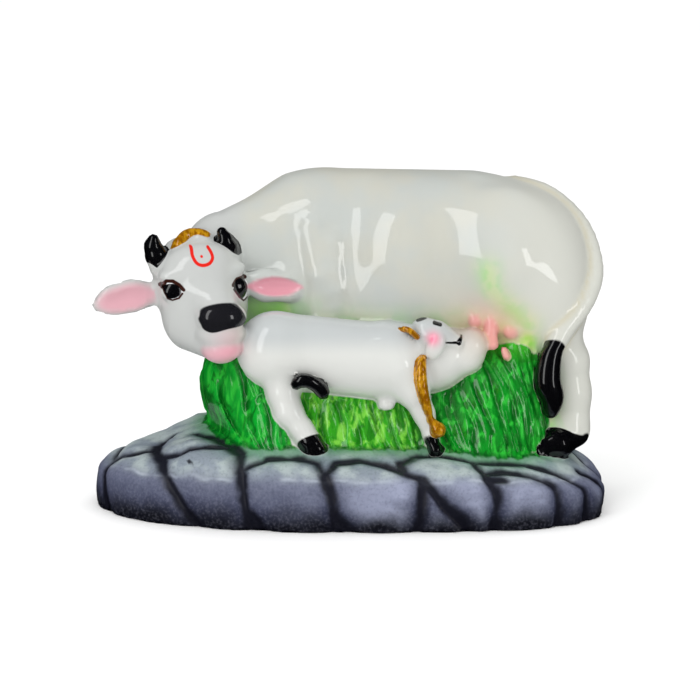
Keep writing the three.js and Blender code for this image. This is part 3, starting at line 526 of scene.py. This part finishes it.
CHEST_BAND = curve([
    (15.9, -17, 36.6), (15.4, -18.6, 34.4), (15.6, -19.4, 30.6), (16.7, -19.4, 26), (17.7, -19, 23),
], 3)
CALF_NAPE = curve([(11.2, -15.6, 42.8), (12.9, -16.4, 42.4), (14.6, -16.8, 41)], 3)


def calf_band(p):
    t = np.linspace(0, 1, len(CHEST_BAND))
    strip = limb(p, CHEST_BAND, 0.6 + 0.65 * np.sin(math.pi * np.minimum(1.1 * t, 1)) ** 0.7, 0.3)
    over_nape = limb(p, CALF_NAPE, [0.6] * len(CALF_NAPE), 0.3)
    neck_of_bell = cone(p, V(17.6, -19, 23), V(18.8, -18.9, 21.6), 0.8, 1.2)
    return join(0.4, strip, over_nape, neck_of_bell, ellipsoid(p, (19.2, -18.8, 20.8), (1.7, 1.6, 1.7)))


# The whole form

def sub_parts(p):
    q = in_head_frame(p)
    return {
        "base": stone_base(p), "grass": grass(p),
        "body": cow_body(p), "legs": cow_legs(p), "hooves": cow_hooves(p),
        "tail": cow_tail(p), "tuft": cow_tuft(p), "udder": udder(p),
        "face": face_form(q), "eyes": eyes(q), "nose": nose(q), "tongue": tongue(q), "horns": horns(q),
        "poll": poll(q), "left_ear": left_ear(q), "right_ear": right_ear(q), "nape_band": nape_band(q),
        "calf": calf_body(p), "calf_legs": calf_legs(p), "calf_hooves": calf_hooves(p),
        "calf_tuft": calf_tuft(p), "calf_head": calf_head(p), "calf_ear": calf_ear(p),
        "fold": suckling_fold(p), "calf_band": calf_band(p),
    }


def statue(p):
    d = sub_parts(p)
    cow = join(2.5, d["body"], d["legs"], join(4, d["base"], d["grass"]))
    rear = join(0.8, join(1.5, cow, d["tail"], d["udder"]), d["hooves"], d["tuft"])
    head = join(1, join(0.8, d["face"], d["eyes"], d["nose"], d["tongue"]), d["horns"], d["poll"])
    front = join(1, join(2, rear, join(1.8, head, d["left_ear"])), d["right_ear"], d["nape_band"])
    calf = join(1, join(2, d["calf"], d["calf_legs"]), d["calf_head"], d["fold"], d["calf_hooves"])
    calf = join(0.6, calf, d["calf_ear"], d["calf_tuft"], d["calf_band"])
    return np.maximum(join(1.2, front, calf), -p[..., 2])


# Mesh of the form: one point in each grid cell that the surface crosses, and a face across each crossed
# edge. Only cells near the surface are looked at.

BLOCK = 4
CHUNK = 200000
CORNERS = [(i, j, k) for i in (0, 1) for j in (0, 1) for k in (0, 1)]


def sample_grid(form, low, high, step):
    low = np.array(low, float)
    blocks = np.ceil((np.array(high) - low) / (step * BLOCK)).astype(int)
    axes = [low[i] + np.arange(blocks[i] + 1) * step * BLOCK for i in range(3)]
    coarse = form(np.stack(np.meshgrid(*axes, indexing="ij"), -1).reshape(-1, 3)).reshape(blocks + 1)
    near = np.abs(coarse) < 1.9 * BLOCK * step
    live = np.zeros(blocks, bool)
    for i, j, k in CORNERS:
        live |= near[i:i + blocks[0], j:j + blocks[1], k:k + blocks[2]]
    count = blocks * BLOCK + 1
    nearest = [np.minimum((np.arange(n) + BLOCK // 2) // BLOCK, b) for n, b in zip(count, blocks)]
    values = coarse[np.ix_(*nearest)]
    offsets = np.stack(np.meshgrid(*[np.arange(BLOCK + 1)] * 3, indexing="ij"), -1).reshape(-1, 3)
    wanted = np.zeros(count, bool)
    cells = (np.argwhere(live)[:, None, :] * BLOCK + offsets).reshape(-1, 3)
    wanted[tuple(cells.T)] = True
    points = low + np.argwhere(wanted) * step
    values[wanted] = np.concatenate([form(points[i:i + CHUNK]) for i in range(0, len(points), CHUNK)])
    return values, low


def crossed_cells(values, low, step):
    """A point in each crossed cell, the mean of where its edges are crossed, and its number by cell."""
    inside = values < 0
    size = np.array(values.shape) - 1
    count = sum(inside[i:i + size[0], j:j + size[1], k:k + size[2]].astype(int) for i, j, k in CORNERS)
    crossed = (count > 0) & (count < 8)
    cells = np.argwhere(crossed)
    number = np.full(crossed.shape, -1)
    number[crossed] = np.arange(len(cells))
    total, found = np.zeros((len(cells), 3)), np.zeros(len(cells))
    for corner in CORNERS:
        for axis in range(3):
            if corner[axis] == 0:
                start = np.array(corner)
                end = start + np.eye(3, dtype=int)[axis]
                a, b = values[tuple((cells + start).T)], values[tuple((cells + end).T)]
                cut = (a < 0) != (b < 0)
                t = np.where(cut, a / np.where(cut, a - b, 1), 0)
                total[cut] += (start + t[:, None] * (end - start))[cut]
                found[cut] += 1
    return low + (cells + total / found[:, None]) * step, number


def faces_across(values, number):
    inside = values < 0
    faces = []
    for axis in range(3):
        u, w = (axis + 1) % 3, (axis + 2) % 3
        first, second = [slice(None)] * 3, [slice(None)] * 3
        first[axis], second[axis] = slice(0, -1), slice(1, None)
        edges = np.argwhere(inside[tuple(first)] != inside[tuple(second)])
        du, dw = np.eye(3, dtype=int)[u], np.eye(3, dtype=int)[w]
        around = [edges - du - dw, edges - dw, edges, edges - du]
        quads = np.stack([number[tuple(cell.T)] for cell in around], 1)
        outward = ~inside[tuple(first)][tuple(edges.T)]
        quads[outward] = quads[outward][:, ::-1]
        faces.append(quads)
    return np.concatenate(faces)


def slopes(form, points, reach=0.06):
    """Direction in which the distance grows fastest, from four samples around each point."""
    ways = np.array([(1, 1, 1), (1, -1, -1), (-1, 1, -1), (-1, -1, 1)], float)
    return sum(form(points + reach * way)[:, None] * way for way in ways) / (4 * reach)


def settle(form, points, cap=0.3):
    """The points moved straight onto the surface."""
    slope = slopes(form, points)
    move = (form(points) / (np.einsum("ij,ij->i", slope, slope) + 1e-6))[:, None] * slope
    far = length(move)[:, None]
    settled = points - move * np.minimum(1, cap / np.maximum(far, 1e-9))
    settled[:, 2] = np.maximum(settled[:, 2], 0)
    return settled


def mesh_points(mesh):
    points = np.empty(len(mesh.vertices) * 3)
    mesh.vertices.foreach_get("co", points)
    return points.reshape(-1, 3)


def refine(mesh, wanted):
    """Cuts in four the faces whose points are all wanted, and settles the points."""
    chosen = wanted(mesh_points(mesh))
    work = bmesh.new()
    work.from_mesh(mesh)
    work.verts.ensure_lookup_table()
    edges = [e for e in work.edges if chosen[e.verts[0].index] and chosen[e.verts[1].index]]
    bmesh.ops.subdivide_edges(work, edges=edges, cuts=1, use_grid_fill=True)
    work.to_mesh(mesh)
    work.free()
    points = mesh_points(mesh)
    near = wanted(points)
    points[near] = settle(statue, points[near])
    mesh.vertices.foreach_set("co", points.ravel())
    mesh.update()


def carved_front(p):
    """Where the relief is fine, seen from the front: grass, heads, udder, hooves and joints."""
    q = in_head_frame(p)
    head = (q[:, 1] > 0) & (length(q - V(0, 4, -2)) < 25)
    on_calf_body = (p[:, 0] < 10) & (p[:, 2] > 26)
    box = (p[:, 1] < -5) & (p[:, 2] > 13) & (p[:, 2] < 45) & (p[:, 0] > -32) & (p[:, 0] < 53)
    joints = (p[:, 1] < -6) & (p[:, 2] > 3) & (p[:, 2] <= 18) & (joint_distance(p) < 2)
    return head | (box & ~on_calf_body) | joints


def painted_faces(p):
    """Where paint is drawn in lines: the cow's face and the calf's head."""
    q = in_head_frame(p)
    cow = (q[:, 1] > 1.5) & (np.abs(q[:, 0]) < 10.5) & (q[:, 2] > -9.5) & (q[:, 2] < 9.6)
    calf = (p[:, 1] < -12) & (p[:, 0] > 13) & (p[:, 0] < 26) & (p[:, 2] > 36) & (p[:, 2] < 45.5)
    return cow | calf


def painted_lines(p):
    """Close to the lines themselves."""
    marks = [*face_paint(in_head_frame(p)).values(), calf_marks(p)]
    return painted_faces(p) & (np.minimum.reduce([np.abs(m) for m in marks]) < 0.5)


def make_form():
    values, low = sample_grid(statue, (-60, -31, -1.5 * STEP), (60, 31, BACK_HEIGHT + 4), STEP)
    points, number = crossed_cells(values, low, STEP)
    points = settle(statue, points)
    mesh = bpy.data.meshes.new("statue")
    mesh.from_pydata(points.tolist(), [], faces_across(values, number).tolist())
    refine(mesh, carved_front)
    refine(mesh, painted_faces)
    refine(mesh, painted_lines)
    return mesh


# Paint. Each edge of paint is an attribute in millimetres, positive inside the paint.

TILAK = curve([
    (-2.1, 8.8), (-2.3, 7.2), (-1.7, 5.7), (-0.5, 5.1), (1.0, 5.3), (1.9, 6.2), (1.9, 7.3), (1.5, 8.4),
], 4)
LEFT_LID = [(-9.4, 1.1), (-8.5, 2.4), (-7.2, 2.3), (-6.0, 1.4), (-5.2, 0.3)]
LEFT_LOWER_LID = [(-9.3, 1.0), (-9.1, -0.1), (-8.5, -1.5), (-7.6, -1.9), (-6.3, -1.5), (-5.5, -0.5)]
RIGHT_LID = [(5.8, -0.1), (6.9, 0.9), (8.6, 1.0), (9.4, 0.5)]
RIGHT_LOWER_LID = [(5.8, -1.0), (6.9, -2.9), (8.1, -4.1), (9.3, -3.9)]
LEFT_IRIS, RIGHT_IRIS = V(-7.7, 0.1), V(7.5, -1.3)
NOSE_PAD = curve([
    (-3.1, -5.0), (-2.5, -3.6), (-0.8, -2.9), (2.0, -2.7), (4.8, -3.2), (6.0, -4.3), (6.9, -6.2), (7.2, -7.6),
    (6.2, -8.1), (2.5, -8.2), (-0.8, -8.7), (-2.4, -8.0), (-2.9, -6.9), (-3.3, -5.7), (-3.1, -5.0),
], 3)[:-1]
GROIN = [(29.8, 55.5), (31, 51), (34.6, 46.6), (39, 42.5)]
CALF_MOUTH = [
    (20.7, 39.9), (22.2, 39.8), (23.2, 39.9), (23.9, 40.6), (24.6, 41.2), (24.5, 40.2), (24.2, 39.0),
    (23.7, 38.8), (23.2, 39.2), (22.0, 39.3), (20.8, 39.5),
]
LID_HALF_WIDTH, LOWER_LID_HALF_WIDTH = 0.42, 0.22
OUT_OF_REACH = -2


def margin(d, *names):
    """How far inside the named sub-parts' own surface a point lies, set against all the others."""
    own = np.minimum.reduce([d[n] for n in names])
    return np.minimum.reduce([d[n] for n in d if n not in names]) - own


def face_paint(q):
    flat = q[:, [0, 2]]
    ahead = q[:, 1] > 1.5
    lid = np.minimum(stroke(flat, LEFT_LID), stroke(flat, RIGHT_LID))
    lower = np.minimum(stroke(flat, LEFT_LOWER_LID), stroke(flat, RIGHT_LOWER_LID))
    left_eye = patch(flat, LEFT_LID + LEFT_LOWER_LID[::-1])
    right_eye = patch(flat, RIGHT_LID + RIGHT_LOWER_LID[::-1])
    white = np.minimum(left_eye, right_eye)
    left_iris = length((flat - LEFT_IRIS) / V(1.25, 1.0)) - 1.65
    right_iris = length((flat - RIGHT_IRIS) / V(1.0, 1.3)) - 1.8
    iris = np.minimum(left_iris, right_iris)
    dot = length(flat - V(-0.4, 6.9))
    red = np.maximum(0.36 - stroke(flat, TILAK), 0.3 - dot)
    brown = np.maximum(LID_HALF_WIDTH - lid, LOWER_LID_HALF_WIDTH - lower)
    return {
        "red": np.where(ahead, red, OUT_OF_REACH),
        "brown": np.where(ahead, brown, OUT_OF_REACH),
        "eye_white": np.where(ahead, -white, OUT_OF_REACH),
        "iris": np.where(ahead, -np.maximum(iris, white), OUT_OF_REACH),
        "nose_pad": np.where(q[:, 1] > 7, -patch(flat, NOSE_PAD), OUT_OF_REACH),
    }


def calf_marks(p):
    """Dark dashes on the calf's crest and eye, and its mouth."""
    flat = p[:, [0, 2]]
    ahead = p[:, 1] < -12
    crest = 0.3 - stroke(flat, [(14.6, 44.3), (16.6, 44.9)])
    eye = 0.34 - stroke(flat, [(18.3, 43.9), (19.7, 43.5)])
    mouth = -patch(flat, CALF_MOUTH)
    return np.where(ahead, np.maximum.reduce([crest, eye, mouth]), OUT_OF_REACH)


def horn_tips(q, d):
    """The horns are black down to a slanting line."""
    left = q[:, 2] - np.interp(q[:, 0], [-11, -9.7, -6.6], [5.9, 4.8, 8.1])
    right = q[:, 2] - np.interp(q[:, 0], [3.2, 6, 8.5], [7.8, 7, 5.3])
    return np.minimum(margin(d, "horns") + 0.4, np.where(q[:, 0] < 0, left, right))


def soft_spot(p, centre, radius, stretch=(1, 1, 1)):
    return np.exp(-(length((p - centre) / np.array(stretch)) / radius) ** 2)


def blushes(p, q, d):
    """Pink: ear linings, tongue and lip, teats and udder, the calf's cheek."""
    along, across = q[:, 0] - 15.6, q[:, 2] + 2.35 + 0.12 * (q[:, 0] - 15.6)
    leaf = 2.3 * (1 - (along / 6.6) ** 2) - np.abs(across)
    linings = np.maximum(
        0.47 * smooth(0.9 - left_ear_hollow(q) / 2.2) * (d["left_ear"] < 0.3),
        0.6 * smooth(0.35 + leaf / 0.9) * (d["right_ear"] < 0.3) * (q[:, 0] > 8))
    mouth = 0.42 * smooth(0.5 + margin(d, "tongue") / 1.6) + 0.2 * soft_spot(q, V(2.5, 13.5, -11), 3.4)
    nipple = 0.7 * smooth(0.75 - teats(p) / 1.1) * (p[:, 1] < -6)
    around = 0.22 * soft_spot(p, V(30.5, -8, 43), 4.5, (1.5, 1.2, 1))
    cheek = 0.9 * soft_spot(p, V(18, -17.4, 40.7), 1.5)
    return clip01(np.maximum.reduce([linings, mouth, nipple, around, cheek]))


def green_wash(p, q, d):
    """Thin green over the white next to the grass and under the belly."""
    near_grass = np.exp(-(np.maximum(d["grass"], 0) / 2.6) ** 2)
    belly = smooth((49 - p[:, 2]) / 10) * smooth((p[:, 0] + 16) / 8) * smooth((42 - p[:, 0]) / 8)
    groin = 0.75 * np.exp(-(stroke(p[:, [0, 2]], GROIN) / 2.8) ** 2) * (p[:, 1] < -4)
    under_ear = 0.9 * soft_spot(p, V(-18, -7, 45), 3.6, (2.4, 2, 1))
    drop = soft_spot(p, V(-16.4, -9, 47.6), 1.3, (1.6, 1.5, 0.7))
    on_cow = smooth(0.5 + margin(d, "body", "legs", "udder") / 0.6)
    # On the calf's chest the green is partly a wash and partly painted shade, darkening the chest under the
    # cow.
    on_chest = 0.3 * near_grass * smooth((p[:, 0] - 14) / 8) * smooth((40 - p[:, 2]) / 5)
    peak = 1.4 * soft_spot(p, V(39, -8, 38), 2.4, (1, 2, 1.4))
    washes = [0.8 * near_grass, 0.5 * belly, 0.65 * groin, under_ear, 1.4 * drop, peak]
    return clip01(np.maximum(on_cow * np.maximum.reduce(washes), on_chest))


def paint(p):
    q = in_head_frame(p)
    d = sub_parts(p)
    up = unrolled(p)[1]
    broad, thin = blade_waves(p)
    marks = {
        "ground": margin(d, "base", "grass"),
        "turf": d["base"] - d["grass"],
        "black": np.maximum.reduce([margin(d, "hooves", "calf_hooves"), margin(d, "tuft", "calf_tuft"),
                                    horn_tips(q, d), calf_marks(p)]),
        "gold": margin(d, "calf_band", "nape_band"),
        "pink": blushes(p, q, d),
        "wash": green_wash(p, q, d),
        "near_grass": np.exp(-np.maximum(d["grass"], 0) / 3.5),
        "calf": margin(d, "calf", "calf_legs", "calf_head", "calf_ear", "fold"),
        "orange": soft_spot(p, V(31.5, -9, 41), 5.5, (1.3, 1.2, 1)),
        "chip": 0.55 - length((p - V(-35.2, -21.4, 14.4)) @ turning(0, 32, 0) / V(2.4, 3, 0.9)),
        "joint": joint_distance(p),
        "up": up,
        "blade": 0.5 + 0.28 * broad + 0.2 * thin,
        "crease": np.exp(-(np.abs(d["tail"] - d["body"]) / 0.7) ** 2),
    }
    marks.update(face_paint(q))
    return marks


# Materials

def srgb(*levels):
    return [(v / 255 / 12.92 if v < 10.3 else ((v / 255 + 0.055) / 1.055) ** 2.4) for v in levels] + [1.0]


class Shader:
    """A material's nodes, made by short calls. Numbers and colours may stand in for sockets."""

    def __init__(self, name):
        self.material = bpy.data.materials.new(name)
        self.material.use_nodes = True
        self.nodes = self.material.node_tree.nodes
        self.links = self.material.node_tree.links
        self.surface = self.nodes["Principled BSDF"]

    def feed(self, socket, value):
        if isinstance(value, bpy.types.NodeSocket):
            self.links.new(value, socket)
        else:
            socket.default_value = value

    def attribute(self, name):
        node = self.nodes.new("ShaderNodeAttribute")
        node.attribute_name = name
        return node.outputs["Fac"]

    def glancing(self):
        """From 0 where the surface is seen straight on to 1 at its rim, for gloss."""
        node = self.nodes.new("ShaderNodeLayerWeight")
        node.inputs["Blend"].default_value = 0.5
        return node.outputs["Facing"]

    def math(self, operation, a, b=0.0, c=0.0):
        node = self.nodes.new("ShaderNodeMath")
        node.operation = operation
        for socket, value in zip(node.inputs, (a, b, c)):
            self.feed(socket, value)
        return node.outputs[0]

    def ramp(self, value, start, end, low=0.0, high=1.0):
        """From low at start to high at end, smoothly."""
        node = self.nodes.new("ShaderNodeMapRange")
        node.interpolation_type = "SMOOTHSTEP"
        for socket, v in zip(node.inputs, (value, start, end, low, high)):
            self.feed(socket, v)
        return node.outputs[0]

    def mix(self, amount, first, second):
        node = self.nodes.new("ShaderNodeMix")
        node.data_type = "RGBA"
        self.feed(node.inputs[0], amount)
        self.feed(node.inputs[6], first)
        self.feed(node.inputs[7], second)
        return node.outputs[2]

    def object_place(self, stretch=(1, 1, 1)):
        place = self.nodes.new("ShaderNodeTexCoord").outputs["Object"]
        node = self.nodes.new("ShaderNodeVectorMath")
        node.operation = "MULTIPLY"
        self.links.new(place, node.inputs[0])
        node.inputs[1].default_value = stretch
        return node.outputs[0]

    def place(self, axis):
        """The coordinate along an axis, in millimetres."""
        node = self.nodes.new("ShaderNodeSeparateXYZ")
        self.links.new(self.object_place([1 / MM] * 3), node.inputs[0])
        return node.outputs[axis]

    def noise(self, size, detail=2.0, stretch=(1, 1, 1), swirl=0.0):
        """Noise from 0 to 1 with lumps of the given size in millimetres."""
        node = self.nodes.new("ShaderNodeTexNoise")
        node.inputs["Scale"].default_value = 1 / (size * MM)
        node.inputs["Detail"].default_value = detail
        node.inputs["Distortion"].default_value = swirl
        self.links.new(self.object_place(stretch), node.inputs["Vector"])
        return node.outputs["Fac"]

    def bump(self, height, distance):
        node = self.nodes.new("ShaderNodeBump")
        node.inputs["Distance"].default_value = distance * MM
        self.feed(node.inputs["Height"], height)
        self.links.new(node.outputs["Normal"], self.surface.inputs["Normal"])


def edge(s, name, half=0.12, wobble=None):
    """The inside of a paint edge, from 0 to 1, with a soft half width in millimetres."""
    value = s.attribute(name)
    if wobble is not None:
        value = s.math("ADD", value, wobble)
    return s.ramp(value, -half, half)


def white_paint(s):
    warm, cool = srgb(189, 189, 179), srgb(183, 187, 183)
    base = s.mix(s.ramp(s.noise(14, 3), 0.35, 0.65), warm, cool)
    # Painted shade: the calf's white is darker on its upper half, under the cow's belly, and lighter low
    # down.
    calf = s.mix(s.ramp(s.place("Z"), 42, 37), srgb(183, 187, 187), srgb(206, 207, 203))
    # Painted shade: the white of the head and ears is a shade darker.
    base = s.mix(s.ramp(s.place("X"), -21, -29), base, srgb(184, 186, 184))
    base = s.mix(s.ramp(s.place("X"), 20, 46), base, srgb(200, 201, 193))
    base = s.mix(s.ramp(s.attribute("calf"), -0.5, 0.5), base, calf)
    base = s.mix(s.math("MULTIPLY", s.attribute("crease"), 0.35), base, srgb(186, 172, 124))
    amount = s.math("MULTIPLY", s.attribute("wash"), s.ramp(s.noise(5, 3, (1, 1, 0.5)), 0.2, 0.7, 0.6, 1.0))
    green = s.mix(s.ramp(s.noise(4), 0.4, 0.6), srgb(132, 214, 66), srgb(188, 216, 126))
    # Painted light: the green is lighter near the head, lifting the shade in the hollow under the ear.
    green = s.mix(s.ramp(s.place("X"), -12, -16), green, srgb(160, 240, 96))
    base = s.mix(amount, base, green)
    base = s.mix(s.math("MULTIPLY", s.attribute("orange"), 0.45), base, srgb(206, 166, 96))
    return s.mix(s.attribute("pink"), base, srgb(238, 122, 152))


def grass_paint(s, turf):
    across = s.place("X")
    middle = s.math("MULTIPLY", s.ramp(across, -15, -9), s.ramp(across, 18, 12))
    deep = s.mix(middle, srgb(0, 88, 16), srgb(20, 112, 8))
    side = s.mix(s.ramp(across, -16, 0), srgb(0, 164, 42), srgb(0, 138, 28))
    mid = s.mix(middle, side, srgb(52, 170, 24))
    light = s.mix(middle, srgb(44, 190, 54), srgb(136, 220, 74))
    # Painted shade: the green is darker down in the grooves between the blades.
    base = s.mix(s.ramp(s.attribute("blade"), 0.1, 0.75), deep, mid)
    streaks = s.noise(1.6, 4, (1, 1, 0.3), 0.6)
    base = s.mix(s.math("MULTIPLY", s.ramp(streaks, 0.48, 0.66), 0.8), base, light)
    patches = s.noise(2.2, 4, (1, 1, 0.5), 1.2)
    base = s.mix(s.math("MULTIPLY", s.ramp(patches, 0.52, 0.66), 0.75), base, deep)
    crown = s.math("MULTIPLY", s.ramp(s.place("Z"), 33, 39), 0.6)
    base = s.mix(crown, base, srgb(76, 184, 36))
    # Painted shade: dark green along the crease where the grass meets the stone.
    painted_crease_shade = s.math("MULTIPLY", s.ramp(turf, 1.6, 0.0), 0.6)
    return s.mix(painted_crease_shade, base, srgb(4, 58, 20))


CREST_UP = 12.4


def stone_paint(s):
    joint, across = s.attribute("joint"), s.place("X")
    up = s.math("ADD", s.attribute("up"), s.ramp(s.noise(9, 2), 0.3, 0.7, -0.9, 0.9))
    rightward = s.math("MULTIPLY", s.ramp(across, -22, 24, 0.08, 1.0), s.ramp(across, 54, 32, 0.35, 1.0))
    heart = s.ramp(joint, 0.9, 5.0)
    blotches = s.ramp(s.noise(7, 4, (0.6, 0.6, 1.4)), 0.36, 0.64, 0.5, 1.0)
    pale = s.math("MULTIPLY", s.math("MULTIPLY", rightward, heart), blotches)
    wall = s.mix(pale, srgb(54, 58, 82), srgb(158, 164, 188))
    wall = s.mix(s.ramp(up, 4.0, 12.0, 0.0, 0.34), wall, srgb(136, 142, 162))
    wall = s.mix(s.ramp(up, 7.5, 1.0), wall, srgb(12, 13, 22))
    top = s.mix(s.ramp(s.noise(6, 3), 0.4, 0.62), srgb(130, 140, 150), srgb(164, 175, 176))
    top = s.mix(s.ramp(joint, 3.4, 0.8, 0.0, 0.6), top, srgb(58, 62, 82))
    base = s.mix(s.ramp(up, 10.0, 16.0), wall, top)
    grain = s.noise(0.6, 5)
    base = s.mix(s.ramp(grain, 0.45, 0.7, 0.0, 0.08), base, srgb(168, 170, 190))
    base = s.mix(s.ramp(grain, 0.5, 0.3, 0.0, 0.18), base, srgb(26, 28, 44))
    # Painted highlight: a pale, broken band along the crest of the stones' rim.
    crown = s.ramp(s.math("ABSOLUTE", s.math("ADD", up, -CREST_UP)), 0.9, 0.0)
    crest_highlight = s.math("MULTIPLY", crown, s.ramp(s.noise(6, 2), 0.35, 0.75, 0.0, 0.4))
    base = s.mix(crest_highlight, base, srgb(188, 196, 210))
    tinge = s.math("MULTIPLY", s.ramp(up, 11, 16), s.ramp(s.attribute("near_grass"), 0.02, 0.6))
    base = s.mix(s.math("MULTIPLY", tinge, 0.75), base, srgb(84, 146, 100))
    width = s.ramp(s.noise(5, 2), 0.3, 0.7, -0.4, 0.4)
    dark = s.ramp(s.math("ADD", joint, width), 2.0, 0.4)
    dark = s.math("MAXIMUM", dark, s.ramp(s.attribute("chip"), -0.2, 0.25))
    return s.mix(s.math("MULTIPLY", dark, 0.94), base, srgb(14, 14, 24))


def statue_material():
    s = Shader("painted_resin")
    wobble = s.math("MULTIPLY_ADD", s.noise(1.2, 2), 0.5, -0.25)
    base = white_paint(s)
    turf = s.math("ADD", s.attribute("turf"), s.math("MULTIPLY", s.noise(3, 3), 2.4))
    ground = s.mix(s.ramp(turf, -0.9, 0.1), stone_paint(s), grass_paint(s, turf))
    base = s.mix(edge(s, "ground", 0.3, wobble), base, ground)
    base = s.mix(edge(s, "eye_white", 0.1), base, srgb(236, 238, 240))
    base = s.mix(edge(s, "red", 0.1), base, srgb(214, 32, 22))
    base = s.mix(edge(s, "brown", 0.1), base, srgb(52, 22, 14))
    nose_pad = edge(s, "nose_pad", 0.15)
    black = s.math("MAXIMUM", edge(s, "black", 0.12), s.math("MAXIMUM", edge(s, "iris", 0.1), nose_pad))
    # The nose pad's black is a lighter grey, a painted sheen.
    base = s.mix(black, base, s.mix(nose_pad, srgb(5, 5, 8), srgb(24, 24, 28)))
    gold = edge(s, "gold", 0.12)
    # Painted highlights: lighter streaks over the gold.
    gold_glints = s.ramp(s.noise(0.9, 3, (1, 1, 0.4)), 0.4, 0.65)
    base = s.mix(gold, base, s.mix(gold_glints, srgb(172, 108, 4), srgb(236, 172, 30)))
    s.feed(s.surface.inputs["Base Color"], base)
    s.feed(s.surface.inputs["Metallic"], s.math("MULTIPLY", gold, 0.55))
    s.surface.inputs["Roughness"].default_value = 0.4
    s.surface.inputs["Specular IOR Level"].default_value = 0.1
    s.surface.inputs["Coat IOR"].default_value = 1.6
    on_ground = edge(s, "ground", 0.3)
    stony = s.math("MULTIPLY", on_ground, s.ramp(turf, 0.1, -0.9))
    gloss = s.math("MULTIPLY", s.ramp(stony, 0, 1, 1.0, 0.25), s.ramp(s.glancing(), 0.55, 0.95, 1.0, 0.1))
    s.feed(s.surface.inputs["Coat Weight"], gloss)
    dull = s.math("ADD", s.ramp(stony, 0, 1, 0.05, 0.25), s.ramp(on_ground, 0, 1, 0.0, 0.07))
    s.feed(s.surface.inputs["Coat Roughness"], dull)
    strands = s.math("MULTIPLY", s.noise(0.6, 3, (1, 1, 0.25)), s.math("MULTIPLY", s.ramp(turf, 0, 1), 1.3))
    grit = s.math("MULTIPLY", s.noise(1.3, 4), 0.35)
    relief = s.math("MULTIPLY", s.math("ADD", strands, grit), on_ground)
    brush = s.math("MULTIPLY", s.noise(5, 2), 0.5)
    s.bump(s.math("ADD", relief, brush), 0.2)
    return s.material


def floor_material():
    s = Shader("pale_floor")
    s.surface.inputs["Base Color"].default_value = srgb(251, 251, 251)
    s.surface.inputs["Roughness"].default_value = 0.8
    s.surface.inputs["Specular IOR Level"].default_value = 0.0
    return s.material


# Scene

def make_statue():
    mesh = make_form()
    points = mesh_points(mesh)
    for name, values in paint(points).items():
        mesh.attributes.new(name, "FLOAT", "POINT").data.foreach_set("value", values.astype(np.float32))
    outward = slopes(statue, points)
    outward /= length(outward)[:, None]
    mesh.vertices.foreach_set("co", (points * MM).ravel())
    mesh.shade_smooth()
    mesh.normals_split_custom_set_from_vertices(outward.tolist())
    mesh.update()
    statue_object = bpy.data.objects.new("painted_statue", mesh)
    bpy.context.scene.collection.objects.link(statue_object)
    mesh.materials.append(statue_material())
    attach(statue_object, "root")
    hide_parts(NODE)
    triangles = sum(len(face.vertices) - 2 for face in mesh.polygons)
    print("statue:", len(mesh.vertices), "points,", triangles, "triangles")


FLOOR_HALF_SIZE = 3.0


def make_floor():
    half = FLOOR_HALF_SIZE
    mesh = bpy.data.meshes.new("floor")
    corners = [(-half, -half, 0), (half, -half, 0), (half, half, 0), (-half, half, 0)]
    mesh.from_pydata(corners, [], [(0, 1, 2, 3)])
    floor = bpy.data.objects.new("floor", mesh)
    bpy.context.scene.collection.objects.link(floor)
    mesh.materials.append(floor_material())
    floor.visible_glossy = False


def aim(thing, target):
    thing.rotation_euler = (Vector(target) - thing.location).to_track_quat("-Z", "Y").to_euler()


def make_camera():
    data = bpy.data.cameras.new("camera")
    data.sensor_width = 36
    data.lens = data.sensor_width * FOCAL_PIXELS / IMAGE_PIXELS
    data.clip_start = 0.01
    camera = bpy.data.objects.new("camera", data)
    bpy.context.scene.collection.objects.link(camera)
    elevation = math.radians(VIEW_ELEVATION)
    away = Vector((0, -math.cos(elevation), math.sin(elevation)))
    middle = Vector((0, 0, VIEW_HEIGHT * MM))
    camera.location = middle + away * VIEW_DISTANCE * MM
    aim(camera, middle)
    bpy.context.scene.camera = camera


def make_softbox(name, bearing, elevation, distance, size, brightness, mirrored=True):
    """A rectangular light at a bearing from the front, positive to the viewer's right, in degrees."""
    data = bpy.data.lights.new(name, "AREA")
    data.shape = "RECTANGLE"
    data.size, data.size_y = size
    data.energy = brightness * math.pi * size[0] * size[1]
    light = bpy.data.objects.new(name, data)
    light.visible_glossy = mirrored
    a, e = math.radians(bearing), math.radians(elevation)
    middle = Vector((0, 0, VIEW_HEIGHT * MM))
    toward = Vector((math.sin(a) * math.cos(e), -math.cos(a) * math.cos(e), math.sin(e)))
    light.location = middle + toward * distance
    bpy.context.scene.collection.objects.link(light)
    aim(light, middle)


def make_ceiling():
    """Even light from above, which has no reflection of its own."""
    data = bpy.data.lights.new("ceiling", "SUN")
    data.angle = math.radians(100)
    data.energy = CEILING
    light = bpy.data.objects.new("ceiling", data)
    light.visible_glossy = False
    bpy.context.scene.collection.objects.link(light)


def make_world():
    world = bpy.data.worlds.new("studio")
    world.use_nodes = True
    background = world.node_tree.nodes["Background"]
    background.inputs["Color"].default_value = (1, 1, 1, 1)
    background.inputs["Strength"].default_value = AMBIENT
    world.cycles_visibility.glossy = False
    bpy.context.scene.world = world
    bpy.context.scene.view_settings.view_transform = "Standard"


make_camera()
make_world()
make_ceiling()
make_softbox("left_window", -36, 28, 0.7, (0.2, 0.95), 2.4)
make_softbox("right_window", 49, 12, 0.8, (0.13, 0.34), 3.2)
make_softbox("front_fill", 0, 8, 1.0, (0.9, 0.7), 1.6, mirrored=False)
make_floor()
make_statue()
